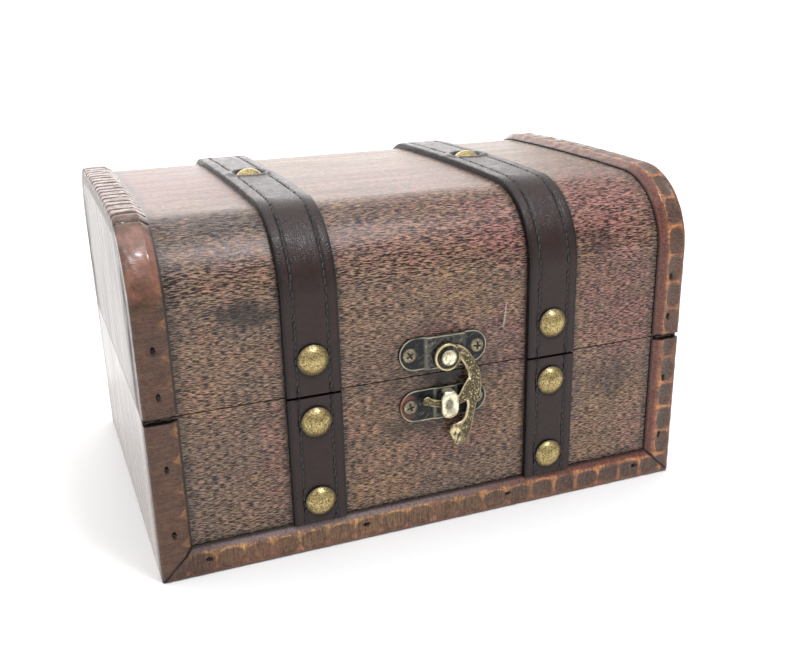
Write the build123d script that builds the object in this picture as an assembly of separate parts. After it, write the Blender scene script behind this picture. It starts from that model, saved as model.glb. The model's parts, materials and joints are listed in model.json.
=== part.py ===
from build123d import *
import os
from math import asin, cos, degrees, radians, sin, sqrt

# A small treasure chest box with a rounded lid, stained plywood walls, wooden edge mouldings,
# leather straps with domed nails, two hinges at the back and a swing hook latch in front.
# Millimetres. X runs along the front, Y from front to back, Z up.
# The origin is the middle of the underside.

# Overall sizes of the chest
length = 200.0
depth = 145.0
base_height = 58.0
lid_rise = 62.3
parting_gap = 0.4

# Walls
ply = 4.0
end_board = 8.0
bottom_board = 3.0
lid_corner_radius = 26.0
crown_radius = 1400.0

# Edge mouldings
trim_width = 11.0
trim_proud = 2.5
trim_gap = 2.0
trim_bevel = 2.9
trim_lip = 0.6
trim_round = 1.3
left_lid_trim_swell = 1.4
right_lid_trim_swell = 0.9
lid_trim_back_gap = 2.6

# Brads that hold the mouldings
brad_radius = 0.5
brad_into_wall = 3.0
brad_sunk = 0.4
brad_fit = 0.02
side_brad_shares = (0.3, 0.72)
bottom_brad_shares = (-0.42, -0.14, 0.14, 0.42)
lid_brad_shares = (0.22, 0.7)

# Leather straps
strap_width = 19.0
strap_thickness = 2.4
strap_edge_round = 0.9
strap_place_share = 0.445
strap_front_gap = 0.9
strap_back_gap = 2.4

# Domed nails in the straps
stud_radius = 5.3
stud_rise = 3.1
stud_spike_radius = 0.7
stud_into_wall = 3.0
stud_fit = 0.02
lid_stud_above_end = 12.6
base_stud_below_end = 9.4
base_stud_above_end = 8.0

# Hinges on the back, each so far along the room between a strap and a moulding
hinge_room_share = 0.45
hinge_length = 25.0
hinge_leaf_height = 11.5
hinge_leaf = 0.8
hinge_knuckle_radius = 1.9
hinge_knuckle_count = 5
hinge_knuckle_gap = 0.2
hinge_off_wall = 0.1
hinge_turn_gap = 0.3
hinge_leaf_gap = 0.3
hinge_pin_radius = 0.8
hinge_pin_fit = 0.05
hinge_pin_head_radius = 1.3
hinge_pin_head = 0.6
hinge_screw_spacing = 15.0
hinge_screw_row = 7.6

# Screws: head radius, head rise, shank radius, depth in the wall, cross slot length, width and depth
screw_fit = 0.03
latch_screw_head = 2.6
latch_screw_rise = 0.8
latch_screw_shank = 1.1
latch_screw_into_wall = 3.2
latch_screw_slot = 2.8
latch_screw_slot_width = 0.6
latch_screw_slot_deep = 0.5
hinge_screw_head = 1.9
hinge_screw_rise = 0.5
hinge_screw_shank = 0.8
hinge_screw_into_wall = 3.0
hinge_screw_slot = 2.0
hinge_screw_slot_width = 0.45
hinge_screw_slot_deep = 0.3

# Latch plates
latch_place = 2.5
latch_plate_length = 33.0
latch_plate_height = 11.9
latch_plate = 1.0
latch_plate_edge = 0.3
latch_screw_spacing = 25.3
pivot_plate_above_parting = 8.2
catch_plate_below_parting = 11.0
pivot_boss_width = 13.8
pivot_boss_rise = 1.2
pivot_boss_shift = 0.6
catch_boss_width = 7.4
catch_boss_rise = 0.6

# Swing hook
pivot_shift = 0.6
pivot_above_parting = 6.5
hook_reach = 17.2
hook_thickness = 1.7
hook_play = 0.2
hook_ring_radius = 4.8
hook_spur_width = 3.0
hook_eye_radius = 5.6
hook_spur_start = -31.0
hook_spur_end = 24.0
rivet_shank_radius = 1.5
rivet_fit = 0.05
rivet_head_radius = 2.9
rivet_head_rise = 1.1

# Catch loop that the hook's spur passes through
loop_width = 6.5
loop_height = 10.0
loop_leg = 1.7
loop_bar = 1.5
loop_play = 0.3
loop_round = 0.7
loop_dimple_radius = 2.6
loop_dimple_deep = 0.6

# How far a cutter runs past what it cuts
overrun = 1.0

# Places that follow from the sizes above
wall_y = depth / 2 - trim_proud
inner_y = wall_y - ply
end_x = length / 2
inner_x = end_x - end_board
lid_top = base_height + lid_rise - trim_proud
base_rim = base_height - parting_gap / 2
lid_rim = base_height + parting_gap / 2
base_trim_top = base_height - trim_gap / 2
lid_trim_foot = base_height + trim_gap / 2
corner_centre_y = wall_y - lid_corner_radius
corner_turn = degrees(asin(corner_centre_y / (crown_radius - lid_corner_radius)))
crown_centre_z = lid_top - crown_radius
corner_centre_z = crown_centre_z + (crown_radius - lid_corner_radius) * cos(radians(corner_turn))
lid_stud_z = base_height + lid_stud_above_end
upper_stud_z = base_height - base_stud_below_end
lower_stud_z = trim_width + base_stud_above_end
strap_place = end_x * strap_place_share
strap_outer_x = strap_place + strap_width / 2
hinge_room = end_x - trim_width - strap_outer_x - hinge_length
hinge_place = strap_outer_x + hinge_room * hinge_room_share + hinge_length / 2
hinge_axis_y = wall_y + hinge_off_wall + hinge_knuckle_radius
pivot_x = latch_place + pivot_shift
pivot_z = base_height + pivot_above_parting
pivot_plate_z = base_height + pivot_plate_above_parting
catch_z = pivot_z - hook_reach
catch_plate_z = base_height - catch_plate_below_parting
hook_back = latch_plate + pivot_boss_rise + hook_play
hook_front = hook_back + hook_thickness
loop_inside = hook_front + loop_play

# Outline of the hook's bow and finger tab, from the pivot, as shares of its reach
hook_bow_shares = (
    (0.05, 0.285),
    (0.33, 0.14),
    (0.61, -0.19),
    (0.735, -0.6),
    (0.70, -0.98),
    (0.60, -1.33),
    (0.54, -1.60),
)
hook_tab_shares = ((0.54, -1.60), (0.44, -1.86), (0.24, -1.945), (0.05, -1.80), (0.10, -1.61), (0.29, -1.53))
hook_neck_shares = ((0.29, -1.53), (0.40, -1.30), (0.43, -1.10), (0.31, -0.98))
hook_eye_shares = (0.14, -0.52)


def box_between(low, high):
    """A box from its lowest to its highest corner."""
    size = [b - a for a, b in zip(low, high)]
    return Pos(*low) * Box(*size, align=(Align.MIN, Align.MIN, Align.MIN))


def front_plane(height):
    """A plane on the front wall, so far out from it, whose own x is X and y is Z."""
    return Plane(origin=(0, -wall_y - height, 0), x_dir=(1, 0, 0), z_dir=(0, -1, 0))


def back_plane(height):
    """The same on the back wall, whose own x is -X and y is Z."""
    return Plane(origin=(0, wall_y + height, 0), x_dir=(-1, 0, 0), z_dir=(0, 1, 0))


def peg(plane, x, y, radius, low, high):
    """A round peg square to a plane, from one height over it to another."""
    stem = Cylinder(radius, high - low, align=(Align.CENTER, Align.CENTER, Align.MIN))
    return plane * Pos(x, y, low) * stem


def both_walls(height=0):
    """The planes of the front and the back wall."""
    return [front_plane(height), back_plane(height)]


# Lid profile
def lid_curve(offset, floor):
    """The lid's line over front, top and back in the YZ plane, offset out from the plywood's face."""
    side = wall_y + offset
    corner = lid_corner_radius + offset
    sweep_angle = 90 - corner_turn
    return [
        Line((-side, floor), (-side, corner_centre_z)),
        CenterArc((-corner_centre_y, corner_centre_z), corner, 180, -sweep_angle),
        CenterArc((0, crown_centre_z), crown_radius + offset, 90 + corner_turn, -2 * corner_turn),
        CenterArc((corner_centre_y, corner_centre_z), corner, sweep_angle, -sweep_angle),
        Line((side, corner_centre_z), (side, floor)),
    ]


def lid_face(offset, floor):
    """The closed section of the lid inside that line."""
    side = wall_y + offset
    closing = Line((side, floor), (-side, floor))
    return Plane.YZ * make_face(Curve() + lid_curve(offset, floor) + [closing])


def along_lid(section, middle, front_floor, back_floor):
    """Sweep a section, drawn across X and out from the wall, over the lid's plywood."""
    pieces = lid_curve(0, base_height)
    pieces[0] = Line((-wall_y, front_floor), (-wall_y, corner_centre_z))
    pieces[-1] = Line((wall_y, corner_centre_z), (wall_y, back_floor))
    path = Pos(middle, 0, 0) * (Plane.YZ * Wire([edge for piece in pieces for edge in piece.edges()]))
    start = Plane(origin=(middle, -wall_y, front_floor), x_dir=(1, 0, 0), z_dir=(0, 0, 1))
    return sweep(start * section, path=path)


# Edge mouldings
def moulding_section(outer_side, across=1, swell=0):
    """Section of a moulding: flat back, a bevel towards the panel and a rounded outer corner.

    The outer edge is at outer_side and the strip runs from there against the sign of outer_side.
    Its back lies on y = 0 and its face on the side that across points away from, flat or swelled.
    """
    inward = -1 if outer_side > 0 else 1
    far = outer_side + inward * trim_width
    face = -across * trim_proud
    rim = face + across * trim_round
    face_start = (far - inward * trim_bevel, face)
    face_end = (outer_side + inward * trim_round, face)
    face_middle = ((face_start[0] + face_end[0]) / 2, face - across * swell)
    outline = [
        Line((outer_side, 0), (far, 0)),
        Line((far, 0), (far, -across * trim_lip)),
        Line((far, -across * trim_lip), face_start),
        ThreePointArc(face_start, face_middle, face_end) if swell else Line(face_start, face_end),
        ThreePointArc(
            (outer_side + inward * trim_round, face),
            (
                outer_side + inward * trim_round * (1 - sqrt(0.5)),
                face + across * trim_round * (1 - sqrt(0.5)),
            ),
            (outer_side, rim),
        ),
        Line((outer_side, rim), (outer_side, 0)),
    ]
    return make_face(Curve() + outline)


def brad_places_on_walls():
    """Each brad in the base's side mouldings, as X and Z."""
    return [(side * (end_x - trim_width / 2), share * base_trim_top)
            for side in (-1, 1) for share in side_brad_shares]


def brad_places_on_sill():
    """Each brad in a bottom moulding, as X and Z."""
    return [(share * length, trim_width / 2) for share in bottom_brad_shares]


def brad_places_on_lid():
    """Each brad in the upright part of the lid's mouldings, as X and Z."""
    upright = corner_centre_z - lid_trim_foot
    return [(side * (end_x - trim_width / 2), lid_trim_foot + share * upright)
            for side in (-1, 1) for share in lid_brad_shares]


def brad_holes(places):
    """Cutters for brads through the mouldings and into the walls behind them."""
    clear = trim_proud + max(left_lid_trim_swell, right_lid_trim_swell) + overrun
    return [peg(plane, x, z, brad_radius + brad_fit, -brad_into_wall - brad_fit, clear)
            for plane in both_walls() for x, z in places]


def brads(places):
    """The brads themselves, their heads sunk under the moulding's face."""
    return [peg(plane, x, z, brad_radius, -brad_into_wall, trim_proud - brad_sunk)
            for plane in both_walls() for x, z in places]


def base_side_trim(side, wall):
    """An upright moulding on the base, mitred at its foot; side is left or right, wall front or back."""
    strip = extrude(moulding_section(side * end_x), amount=base_trim_top)
    strip = Pos(0, -wall_y, 0) * strip
    outer, inner = side * end_x, side * (end_x - trim_width)
    outline = Polyline((outer, 0), (outer, base_trim_top), (inner, base_trim_top), (inner, trim_width), (outer, 0))
    strip &= extrude(front_plane(-overrun) * make_face(outline), amount=trim_proud + 2 * overrun)
    if wall > 0:
        strip = mirror(strip, Plane.XZ)
    return strip - brad_holes(brad_places_on_walls())


def base_sill_trim(wall):
    """The bottom moulding on the base's front or back, mitred at both ends."""
    upright = Plane(origin=(-end_x, -wall_y, 0), x_dir=(0, 0, 1), z_dir=(1, 0, 0))
    strip = extrude(upright * moulding_section(0, -1), amount=length)
    inner = end_x - trim_width
    outline = Polyline((-end_x, 0), (-inner, trim_width), (inner, trim_width), (end_x, 0), (-end_x, 0))
    strip &= extrude(front_plane(-overrun) * make_face(outline), amount=trim_proud + 2 * overrun)
    if wall > 0:
        strip = mirror(strip, Plane.XZ)
    return strip - brad_holes(brad_places_on_sill())


def lid_trim(side):
    """The moulding bent over one end of the lid, from the front parting line to the back one."""
    swell = left_lid_trim_swell if side < 0 else right_lid_trim_swell
    section = moulding_section(side * end_x, swell=swell)
    bent = along_lid(section, 0, lid_trim_foot, base_height + lid_trim_back_gap)
    return bent - brad_holes(brad_places_on_lid())


# Leather straps
def strap_section(middle):
    """Section of a strap: a flat band with rounded outer edges, its back on y = 0."""
    left, right = middle - strap_width / 2, middle + strap_width / 2
    edge = strap_edge_round
    bend = edge * (1 - sqrt(0.5))
    face = -strap_thickness
    outline = [
        Line((left, 0), (right, 0)),
        Line((right, 0), (right, face + edge)),
        ThreePointArc((right, face + edge), (right - bend, face + bend), (right - edge, face)),
        Line((right - edge, face), (left + edge, face)),
        ThreePointArc((left + edge, face), (left + bend, face + bend), (left, face + edge)),
        Line((left, face + edge), (left, 0)),
    ]
    return make_face(Curve() + outline)


def wall_stud_places(heights):
    """The nails of both straps at these heights, as X and Z."""
    return [(side * strap_place, z) for side in (-1, 1) for z in heights]


def stud_holes(places):
    """Cutters for the nails' spikes through straps and walls."""
    return [peg(plane, x, z, stud_spike_radius + stud_fit, -stud_into_wall - stud_fit, strap_thickness + overrun)
            for plane in both_walls() for x, z in places]


def crown_stud_hole(side):
    """Cutter for the spike of the nail on top of the lid."""
    spike = Cylinder(stud_spike_radius + stud_fit, stud_into_wall + stud_fit + strap_thickness + overrun,
                     align=(Align.CENTER, Align.CENTER, Align.MIN))
    return Pos(side * strap_place, 0, lid_top - stud_into_wall - stud_fit) * spike


def base_strap(side, wall):
    """A short strap on the base's front or back, between the parting line and the bottom moulding."""
    gap = strap_front_gap if wall < 0 else strap_back_gap
    top = base_height - gap / 2
    strip = extrude(Pos(0, -wall_y, trim_width) * strap_section(side * strap_place), amount=top - trim_width)
    if wall > 0:
        strip = mirror(strip, Plane.XZ)
    return strip - stud_holes(wall_stud_places((upper_stud_z, lower_stud_z)))


def lid_strap(side):
    """A strap over the lid, from the front parting line to the back one."""
    front_floor = base_height + strap_front_gap / 2
    back_floor = base_height + strap_back_gap / 2
    band = along_lid(strap_section(side * strap_place), 0, front_floor, back_floor)
    return band - stud_holes(wall_stud_places((lid_stud_z,))) - crown_stud_hole(side)


def stud():
    """One domed nail standing on z = 0, its spike below."""
    sphere_radius = (stud_radius**2 + stud_rise**2) / (2 * stud_rise)
    cap = Pos(0, 0, stud_rise - sphere_radius) * Sphere(sphere_radius)
    cap &= Cylinder(stud_radius + overrun, stud_rise + overrun, align=(Align.CENTER, Align.CENTER, Align.MIN))
    spike = Pos(0, 0, -strap_thickness - stud_into_wall) * Cylinder(
        stud_spike_radius, strap_thickness + stud_into_wall, align=(Align.CENTER, Align.CENTER, Align.MIN))
    return cap + spike


def wall_studs(heights):
    """The domed nails on the front and back walls at these heights."""
    return [plane * Pos(x, z, 0) * stud() for plane in both_walls(strap_thickness)
            for x, z in wall_stud_places(heights)]


# Walls of the base
def base_wall(wall):
    """The front or back panel of the base, with the holes that are made in it."""
    panel = box_between((-end_x, -wall_y, 0), (end_x, -inner_y, base_rim))
    if wall > 0:
        panel = mirror(panel, Plane.XZ)
    panel -= brad_holes(brad_places_on_walls() + brad_places_on_sill())
    return panel - stud_holes(wall_stud_places((upper_stud_z, lower_stud_z)))


def base_front_panel():
    """The front panel, drilled for the catch plate's screws."""
    return base_wall(-1) - latch_screw_holes(catch_plate_z)


def base_back_panel():
    """The back panel, drilled for the hinges' screws."""
    return base_wall(1) - hinge_screw_holes(-1)


def base_end(side):
    """One solid end board, let in between the front and back panels."""
    board = box_between((inner_x, -inner_y, 0), (end_x, inner_y, base_rim))
    return board if side > 0 else mirror(board, Plane.YZ)


def base_bottom():
    """The floor board inside the four walls."""
    return box_between((-inner_x, -inner_y, 0), (inner_x, inner_y, bottom_board))


# Walls of the lid
def lid_shell():
    """The sheet of plywood bent over the front, top and back of the lid."""
    outer = extrude(lid_face(0, lid_rim), amount=end_x, both=True)
    inner = extrude(lid_face(-ply, lid_rim - overrun), amount=end_x + overrun, both=True)
    shell = outer - inner - brad_holes(brad_places_on_lid()) - stud_holes(wall_stud_places((lid_stud_z,)))
    shell -= [crown_stud_hole(side) for side in (-1, 1)]
    return shell - latch_screw_holes(pivot_plate_z) - hinge_screw_holes(1) - rivet_hole()


def lid_end(side):
    """The D-shaped end board inside the bent plywood."""
    board = Pos(inner_x, 0, 0) * extrude(lid_face(-ply, lid_rim), amount=end_board)
    return board if side > 0 else mirror(board, Plane.YZ)


# Hinges
def knuckle_spans(turn):
    """Where along the hinge the knuckles of one leaf lie: turn 0 is the base's leaf, 1 the lid's."""
    pitch = hinge_length / hinge_knuckle_count
    return [(-hinge_length / 2 + i * pitch, -hinge_length / 2 + (i + 1) * pitch)
            for i in range(hinge_knuckle_count) if i % 2 == turn]


def barrel(low, high, radius):
    """A cylinder along X on the hinge's axis."""
    turned = Rotation(0, 90, 0) * Cylinder(radius, high - low, align=(Align.CENTER, Align.CENTER, Align.MIN))
    return Pos(low, hinge_axis_y, base_height) * turned


def hinge_leaf_plate(place, up):
    """One leaf of a hinge, up 1 for the lid's or -1 for the base's, with its knuckles."""
    own, other = (1, 0) if up > 0 else (0, 1)
    near, far = base_height + up * hinge_leaf_gap, base_height + up * hinge_leaf_height
    half = hinge_length / 2
    leaf = box_between((-half, wall_y, min(near, far)), (half, wall_y + hinge_leaf, max(near, far)))
    for low, high in knuckle_spans(other):
        leaf -= barrel(low - hinge_knuckle_gap, high + hinge_knuckle_gap, hinge_knuckle_radius + hinge_turn_gap)
    trim = hinge_knuckle_gap / 2
    for low, high in knuckle_spans(own):
        leaf += barrel(low + trim, high - trim, hinge_knuckle_radius)
    leaf -= barrel(-half - overrun, half + overrun, hinge_pin_radius + hinge_pin_fit)
    return Pos(place, 0, 0) * leaf - hinge_screw_holes(up)


def hinge_pin(place):
    """The pin through one hinge's knuckles, with a small head at each end."""
    half = hinge_length / 2
    pin = barrel(-half, half, hinge_pin_radius)
    pin += barrel(half, half + hinge_pin_head, hinge_pin_head_radius)
    pin += barrel(-half - hinge_pin_head, -half, hinge_pin_head_radius)
    return Pos(place, 0, 0) * pin


def hinge_screw_places(up):
    """Where the hinge screws go in on the lid, up 1, or the base, up -1, as own x of the back plane and Z."""
    return [(place + shift * hinge_screw_spacing / 2, base_height + up * hinge_screw_row)
            for place in (-hinge_place, hinge_place) for shift in (-1, 1)]


def hinge_screw_holes(up):
    """Cutters for the hinge screws' shanks."""
    return [peg(back_plane(0), x, z, hinge_screw_shank + screw_fit, -hinge_screw_into_wall - screw_fit,
                hinge_leaf + overrun) for x, z in hinge_screw_places(up)]


# Screws
def cross_screw(head, rise, shank, under, slot, slot_width, slot_deep):
    """A screw whose domed head stands on z = 0, with a cross slot; its shank goes down by under."""
    sphere_radius = (head**2 + rise**2) / (2 * rise)
    cap = Pos(0, 0, rise - sphere_radius) * Sphere(sphere_radius)
    cap &= Cylinder(head + overrun, rise + overrun, align=(Align.CENTER, Align.CENTER, Align.MIN))
    for length_x, length_y in ((slot, slot_width), (slot_width, slot)):
        cap -= Pos(0, 0, rise - slot_deep) * Box(
            length_x, length_y, slot_deep + overrun, align=(Align.CENTER, Align.CENTER, Align.MIN))
    stem = Cylinder(shank, under, align=(Align.CENTER, Align.CENTER, Align.MAX))
    return cap + stem


def hinge_screws(up):
    """The four screws of the lid's or the base's hinge leaves."""
    screw = cross_screw(hinge_screw_head, hinge_screw_rise, hinge_screw_shank, hinge_leaf + hinge_screw_into_wall,
                        hinge_screw_slot, hinge_screw_slot_width, hinge_screw_slot_deep)
    return [back_plane(hinge_leaf) * Pos(x, z, 0) * screw for x, z in hinge_screw_places(up)]


def latch_screw_places(plate_z):
    """Where a latch plate's two screws go in, as X and Z."""
    return [(latch_place + side * latch_screw_spacing / 2, plate_z) for side in (-1, 1)]


def latch_screw_holes(plate_z):
    """Cutters for a latch plate's screws."""
    return [peg(front_plane(0), x, z, latch_screw_shank + screw_fit, -latch_screw_into_wall - screw_fit,
                latch_plate + overrun) for x, z in latch_screw_places(plate_z)]


def latch_screws(plate_z):
    """The two screws of a latch plate."""
    screw = cross_screw(latch_screw_head, latch_screw_rise, latch_screw_shank, latch_plate + latch_screw_into_wall,
                        latch_screw_slot, latch_screw_slot_width, latch_screw_slot_deep)
    return [front_plane(latch_plate) * Pos(x, z, 0) * screw for x, z in latch_screw_places(plate_z)]


# Latch
def latch_blank(plate_z, boss_width, boss_rise, boss_shift):
    """A plate with round ends and a raised middle, drilled for its screws."""
    outline = SlotOverall(latch_plate_length, latch_plate_height)
    plate = extrude(outline, amount=latch_plate)
    top = plate.faces().sort_by(Axis.Z)[-1]
    plate = chamfer(top.edges(), latch_plate_edge)
    foot = boss_width + 2 * boss_rise
    bump = [(-foot / 2, 0), (-boss_width / 2, boss_rise), (boss_width / 2, boss_rise), (foot / 2, 0), (-foot / 2, 0)]
    side = Plane(origin=(boss_shift, latch_plate_height / 2, latch_plate), x_dir=(1, 0, 0), z_dir=(0, -1, 0))
    raised = extrude(side * make_face(Polyline(*bump)), amount=latch_plate_height)
    raised &= extrude(outline, amount=latch_plate + boss_rise + overrun)
    plate += raised
    placed = front_plane(0) * Pos(latch_place, plate_z, 0) * plate
    return placed - latch_screw_holes(plate_z)


def rivet_hole():
    """Cutter for the rivet through the pivot plate and the plywood."""
    return peg(front_plane(0), pivot_x, pivot_z, rivet_shank_radius + screw_fit, -ply - overrun,
               hook_back + overrun)


def pivot_plate():
    """The lid's plate, with the boss that the hook turns on."""
    return latch_blank(pivot_plate_z, pivot_boss_width, pivot_boss_rise, pivot_boss_shift) - rivet_hole()


def pivot_rivet():
    """The rivet that the hook turns on, with a domed head outside."""
    seat = hook_front + hook_play
    stem = peg(front_plane(0), pivot_x, pivot_z, rivet_shank_radius, -ply, seat)
    sphere_radius = (rivet_head_radius**2 + rivet_head_rise**2) / (2 * rivet_head_rise)
    cap = Pos(0, 0, rivet_head_rise - sphere_radius) * Sphere(sphere_radius)
    cap &= Cylinder(rivet_head_radius + overrun, rivet_head_rise + overrun,
                    align=(Align.CENTER, Align.CENTER, Align.MIN))
    return stem + front_plane(seat) * Pos(pivot_x, pivot_z, 0) * cap


def catch_plate():
    """The base's plate, under the catch loop."""
    return latch_blank(catch_plate_z, catch_boss_width, catch_boss_rise, pivot_shift)


def catch_loop():
    """The loop that stands on the catch plate, with the eye that the hook's spur passes through."""
    foot = latch_plate + catch_boss_rise
    tall = loop_inside + loop_bar - foot
    outline = SlotOverall(loop_height, loop_width, rotation=90)
    loop = extrude(outline, amount=tall)
    loop = fillet(loop.faces().sort_by(Axis.Z)[-1].edges(), loop_round)
    loop -= Box(loop_width + 2 * overrun, loop_height - 2 * loop_leg, loop_inside - foot,
                align=(Align.CENTER, Align.CENTER, Align.MIN))
    dimple = Sphere(loop_dimple_radius)
    loop -= Pos(0, 0, tall + loop_dimple_radius - loop_dimple_deep) * dimple
    return front_plane(foot) * Pos(pivot_x, catch_z, 0) * loop


def hook_outline():
    """The hook seen from the front, about its pivot: ring, bow, finger tab and the spur about the pivot."""
    def at(shares):
        return [(x * hook_reach, y * hook_reach) for x, y in shares]

    bow, tab, neck = at(hook_bow_shares), at(hook_tab_shares), at(hook_neck_shares)
    closing = Polyline(neck[-1], (0, 0), bow[0])
    body = make_face(Curve() + [Spline(*bow), Spline(*tab), Spline(*neck), closing])
    eye = at([hook_eye_shares])[0]
    body -= Pos(*eye) * Circle(hook_eye_radius)
    return body + Circle(hook_ring_radius) + spur_outline()


def spur_outline():
    """The curved spur, whose arcs are centred on the pivot so that it slides through the eye."""
    inner, outer = hook_reach - hook_spur_width / 2, hook_reach + hook_spur_width / 2

    def on_arc(radius, angle):
        return (radius * sin(radians(angle)), -radius * cos(radians(angle)))

    middle = (hook_spur_start + hook_spur_end) / 2
    outline = [
        ThreePointArc(on_arc(inner, hook_spur_start), on_arc(inner, middle), on_arc(inner, hook_spur_end)),
        Line(on_arc(inner, hook_spur_end), on_arc(outer, hook_spur_end)),
        ThreePointArc(on_arc(outer, hook_spur_end), on_arc(outer, middle), on_arc(outer, hook_spur_start)),
        ThreePointArc(
            on_arc(outer, hook_spur_start),
            on_arc(hook_reach, hook_spur_start - degrees(hook_spur_width / 2 / hook_reach)),
            on_arc(inner, hook_spur_start),
        ),
    ]
    return make_face(Curve() + outline)


def latch_hook():
    """The swing hook, cut from flat plate, with a bore that runs on the rivet."""
    hook = extrude(hook_outline(), amount=hook_thickness)
    hook -= Cylinder(rivet_shank_radius + rivet_fit, 2 * hook_thickness + 2 * overrun)
    return front_plane(hook_back) * Pos(pivot_x, pivot_z, 0) * hook


# Every node and how it is made
def nodes():
    """Each node's name with its solid or its list of separate solids."""
    made = {
        "base_front_panel": base_front_panel(),
        "base_back_panel": base_back_panel(),
        "base_bottom_board": base_bottom(),
        "lid_plywood_shell": lid_shell(),
        "base_trim_brads": brads(brad_places_on_walls() + brad_places_on_sill()),
        "lid_trim_brads": brads(brad_places_on_lid()),
        "base_strap_studs": wall_studs((upper_stud_z, lower_stud_z)),
        "lid_strap_studs": wall_studs((lid_stud_z,)) + [
            Pos(side * strap_place, 0, lid_top + strap_thickness) * stud() for side in (-1, 1)],
        "hinge_base_screws": hinge_screws(-1),
        "hinge_lid_screws": hinge_screws(1),
        "latch_pivot_plate": pivot_plate(),
        "latch_pivot_rivet": pivot_rivet(),
        "latch_pivot_plate_screws": latch_screws(pivot_plate_z),
        "latch_catch_plate": catch_plate(),
        "latch_catch_loop": catch_loop(),
        "latch_catch_plate_screws": latch_screws(catch_plate_z),
        "latch_hook": latch_hook(),
    }
    for side, side_name in ((-1, "left"), (1, "right")):
        made[f"base_{side_name}_end_board"] = base_end(side)
        made[f"lid_{side_name}_end_board"] = lid_end(side)
        made[f"lid_{side_name}_trim"] = lid_trim(side)
        made[f"lid_{side_name}_strap"] = lid_strap(side)
        made[f"hinge_{side_name}_base_leaf"] = hinge_leaf_plate(side * hinge_place, -1)
        made[f"hinge_{side_name}_lid_leaf"] = hinge_leaf_plate(side * hinge_place, 1)
        made[f"hinge_{side_name}_pin"] = hinge_pin(side * hinge_place)
        for wall, wall_name in ((-1, "front"), (1, "back")):
            made[f"base_{wall_name}_{side_name}_trim"] = base_side_trim(side, wall)
            made[f"base_{wall_name}_{side_name}_strap"] = base_strap(side, wall)
    for wall, wall_name in ((-1, "front"), (1, "back")):
        made[f"base_{wall_name}_sill_trim"] = base_sill_trim(wall)
    return made


def write_nodes():
    """Write each node to its own STEP file."""
    os.makedirs("parts", exist_ok=True)
    for name, shape in nodes().items():
        if isinstance(shape, list):
            shape = Compound(children=[solid for piece in shape for solid in piece.solids()])
        export_step(shape, f"parts/{name}.step")


write_nodes()
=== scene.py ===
"""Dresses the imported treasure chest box: stained plywood, edge mouldings, leather straps, nails, hinges, latch."""

import itertools
import json
import math

import bmesh
import bpy
import numpy as np
from mathutils import Matrix, Vector


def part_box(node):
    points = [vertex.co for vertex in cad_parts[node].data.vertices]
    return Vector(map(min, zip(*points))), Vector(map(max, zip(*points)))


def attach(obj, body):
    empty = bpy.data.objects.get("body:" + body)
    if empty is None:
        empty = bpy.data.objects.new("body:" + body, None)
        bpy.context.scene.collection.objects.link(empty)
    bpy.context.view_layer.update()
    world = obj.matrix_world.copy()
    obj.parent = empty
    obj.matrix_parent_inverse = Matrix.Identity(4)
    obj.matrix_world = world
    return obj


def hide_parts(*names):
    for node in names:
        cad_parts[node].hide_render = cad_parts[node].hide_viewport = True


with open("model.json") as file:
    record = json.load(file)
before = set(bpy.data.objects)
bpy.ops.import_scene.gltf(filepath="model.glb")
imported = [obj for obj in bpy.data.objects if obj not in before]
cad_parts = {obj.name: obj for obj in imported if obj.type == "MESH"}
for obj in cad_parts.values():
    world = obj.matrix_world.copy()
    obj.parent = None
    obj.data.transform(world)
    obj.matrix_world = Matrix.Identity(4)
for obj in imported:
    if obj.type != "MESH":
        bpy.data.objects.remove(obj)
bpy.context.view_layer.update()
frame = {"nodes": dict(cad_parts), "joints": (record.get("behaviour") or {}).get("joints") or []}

bl_info = {
    "name": "Treasure chest box",
    "version": (1, 0, 0),
    "blender": (4, 5, 0),
    "location": "3D View > Sidebar > Chest",
    "description": "Builds the visible pieces of a small treasure chest box around its packed frame",
    "category": "Object",
}

MM = 0.001
OWN = "chest_"
SIDES = ((-1, "left"), (1, "right"))
WALLS = ((-1, "front"), (1, "back"))


def low_mm(node, axis):
    """A node's lowest place on an axis, in millimetres."""
    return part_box(node)[0][axis] / MM


def high_mm(node, axis):
    """A node's highest place on an axis, in millimetres."""
    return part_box(node)[1][axis] / MM


# Places taken from the frame, in millimetres
END_X = high_mm("base_front_panel", 0)
WALL_Y = -low_mm("base_front_panel", 1)
LID_TOP = high_mm("lid_plywood_shell", 2)
LID_RIM = low_mm("lid_plywood_shell", 2)
PARTING = (LID_RIM + high_mm("base_front_panel", 2)) / 2
PLY = WALL_Y + low_mm("base_left_end_board", 1)
STRAP_X = (low_mm("base_front_right_strap", 0) + high_mm("base_front_right_strap", 0)) / 2
HOOK_X, _, HOOK_Z = (place / MM for place in next(joint for joint in frame["joints"]
                                                  if joint["name"] == "latch_hook_pivot")["pos_m"])

# Small places and sizes that the photograph gives, in millimetres
TRIM_GAP = 1.0  # from the parting line to the end of a moulding
LID_TRIM_BACK_GAP = 2.6
SIDE_BRAD_SHARES, LID_BRAD_SHARES = (0.3, 0.72), (0.22, 0.7)  # of an upright's height
SILL_BRAD_SHARES = (-0.42, -0.14, 0.14, 0.42)  # of the chest's length
MITRE_GAP = 0.12
BASE_NAILS = (19.0, 48.6)
LID_NAIL = 12.6  # along the lid's line from either parting line
CROWN_NAIL_SUNK = 1.5
LATCH_X = 2.5
PLATE_HALF_LENGTH, PLATE_RADIUS, PLATE_TOP = 16.5, 5.95, 1.0
PLATE_SCREW = 12.65  # from the plate's middle
HOOK_BACK, HOOK_FRONT = 2.42, 4.08  # over the wall
HOOK_REACH = 17.2  # from the pivot to the middle of the loop
LOOP_HALF_X, LOOP_HALF_Z, LOOP_LEG = 3.25, 5.0, 1.7
TAB_Z, TAB_X = (41.0, 37.0), (9.0, 6.5)  # from where the hook's finger tab starts to where it is full

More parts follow.
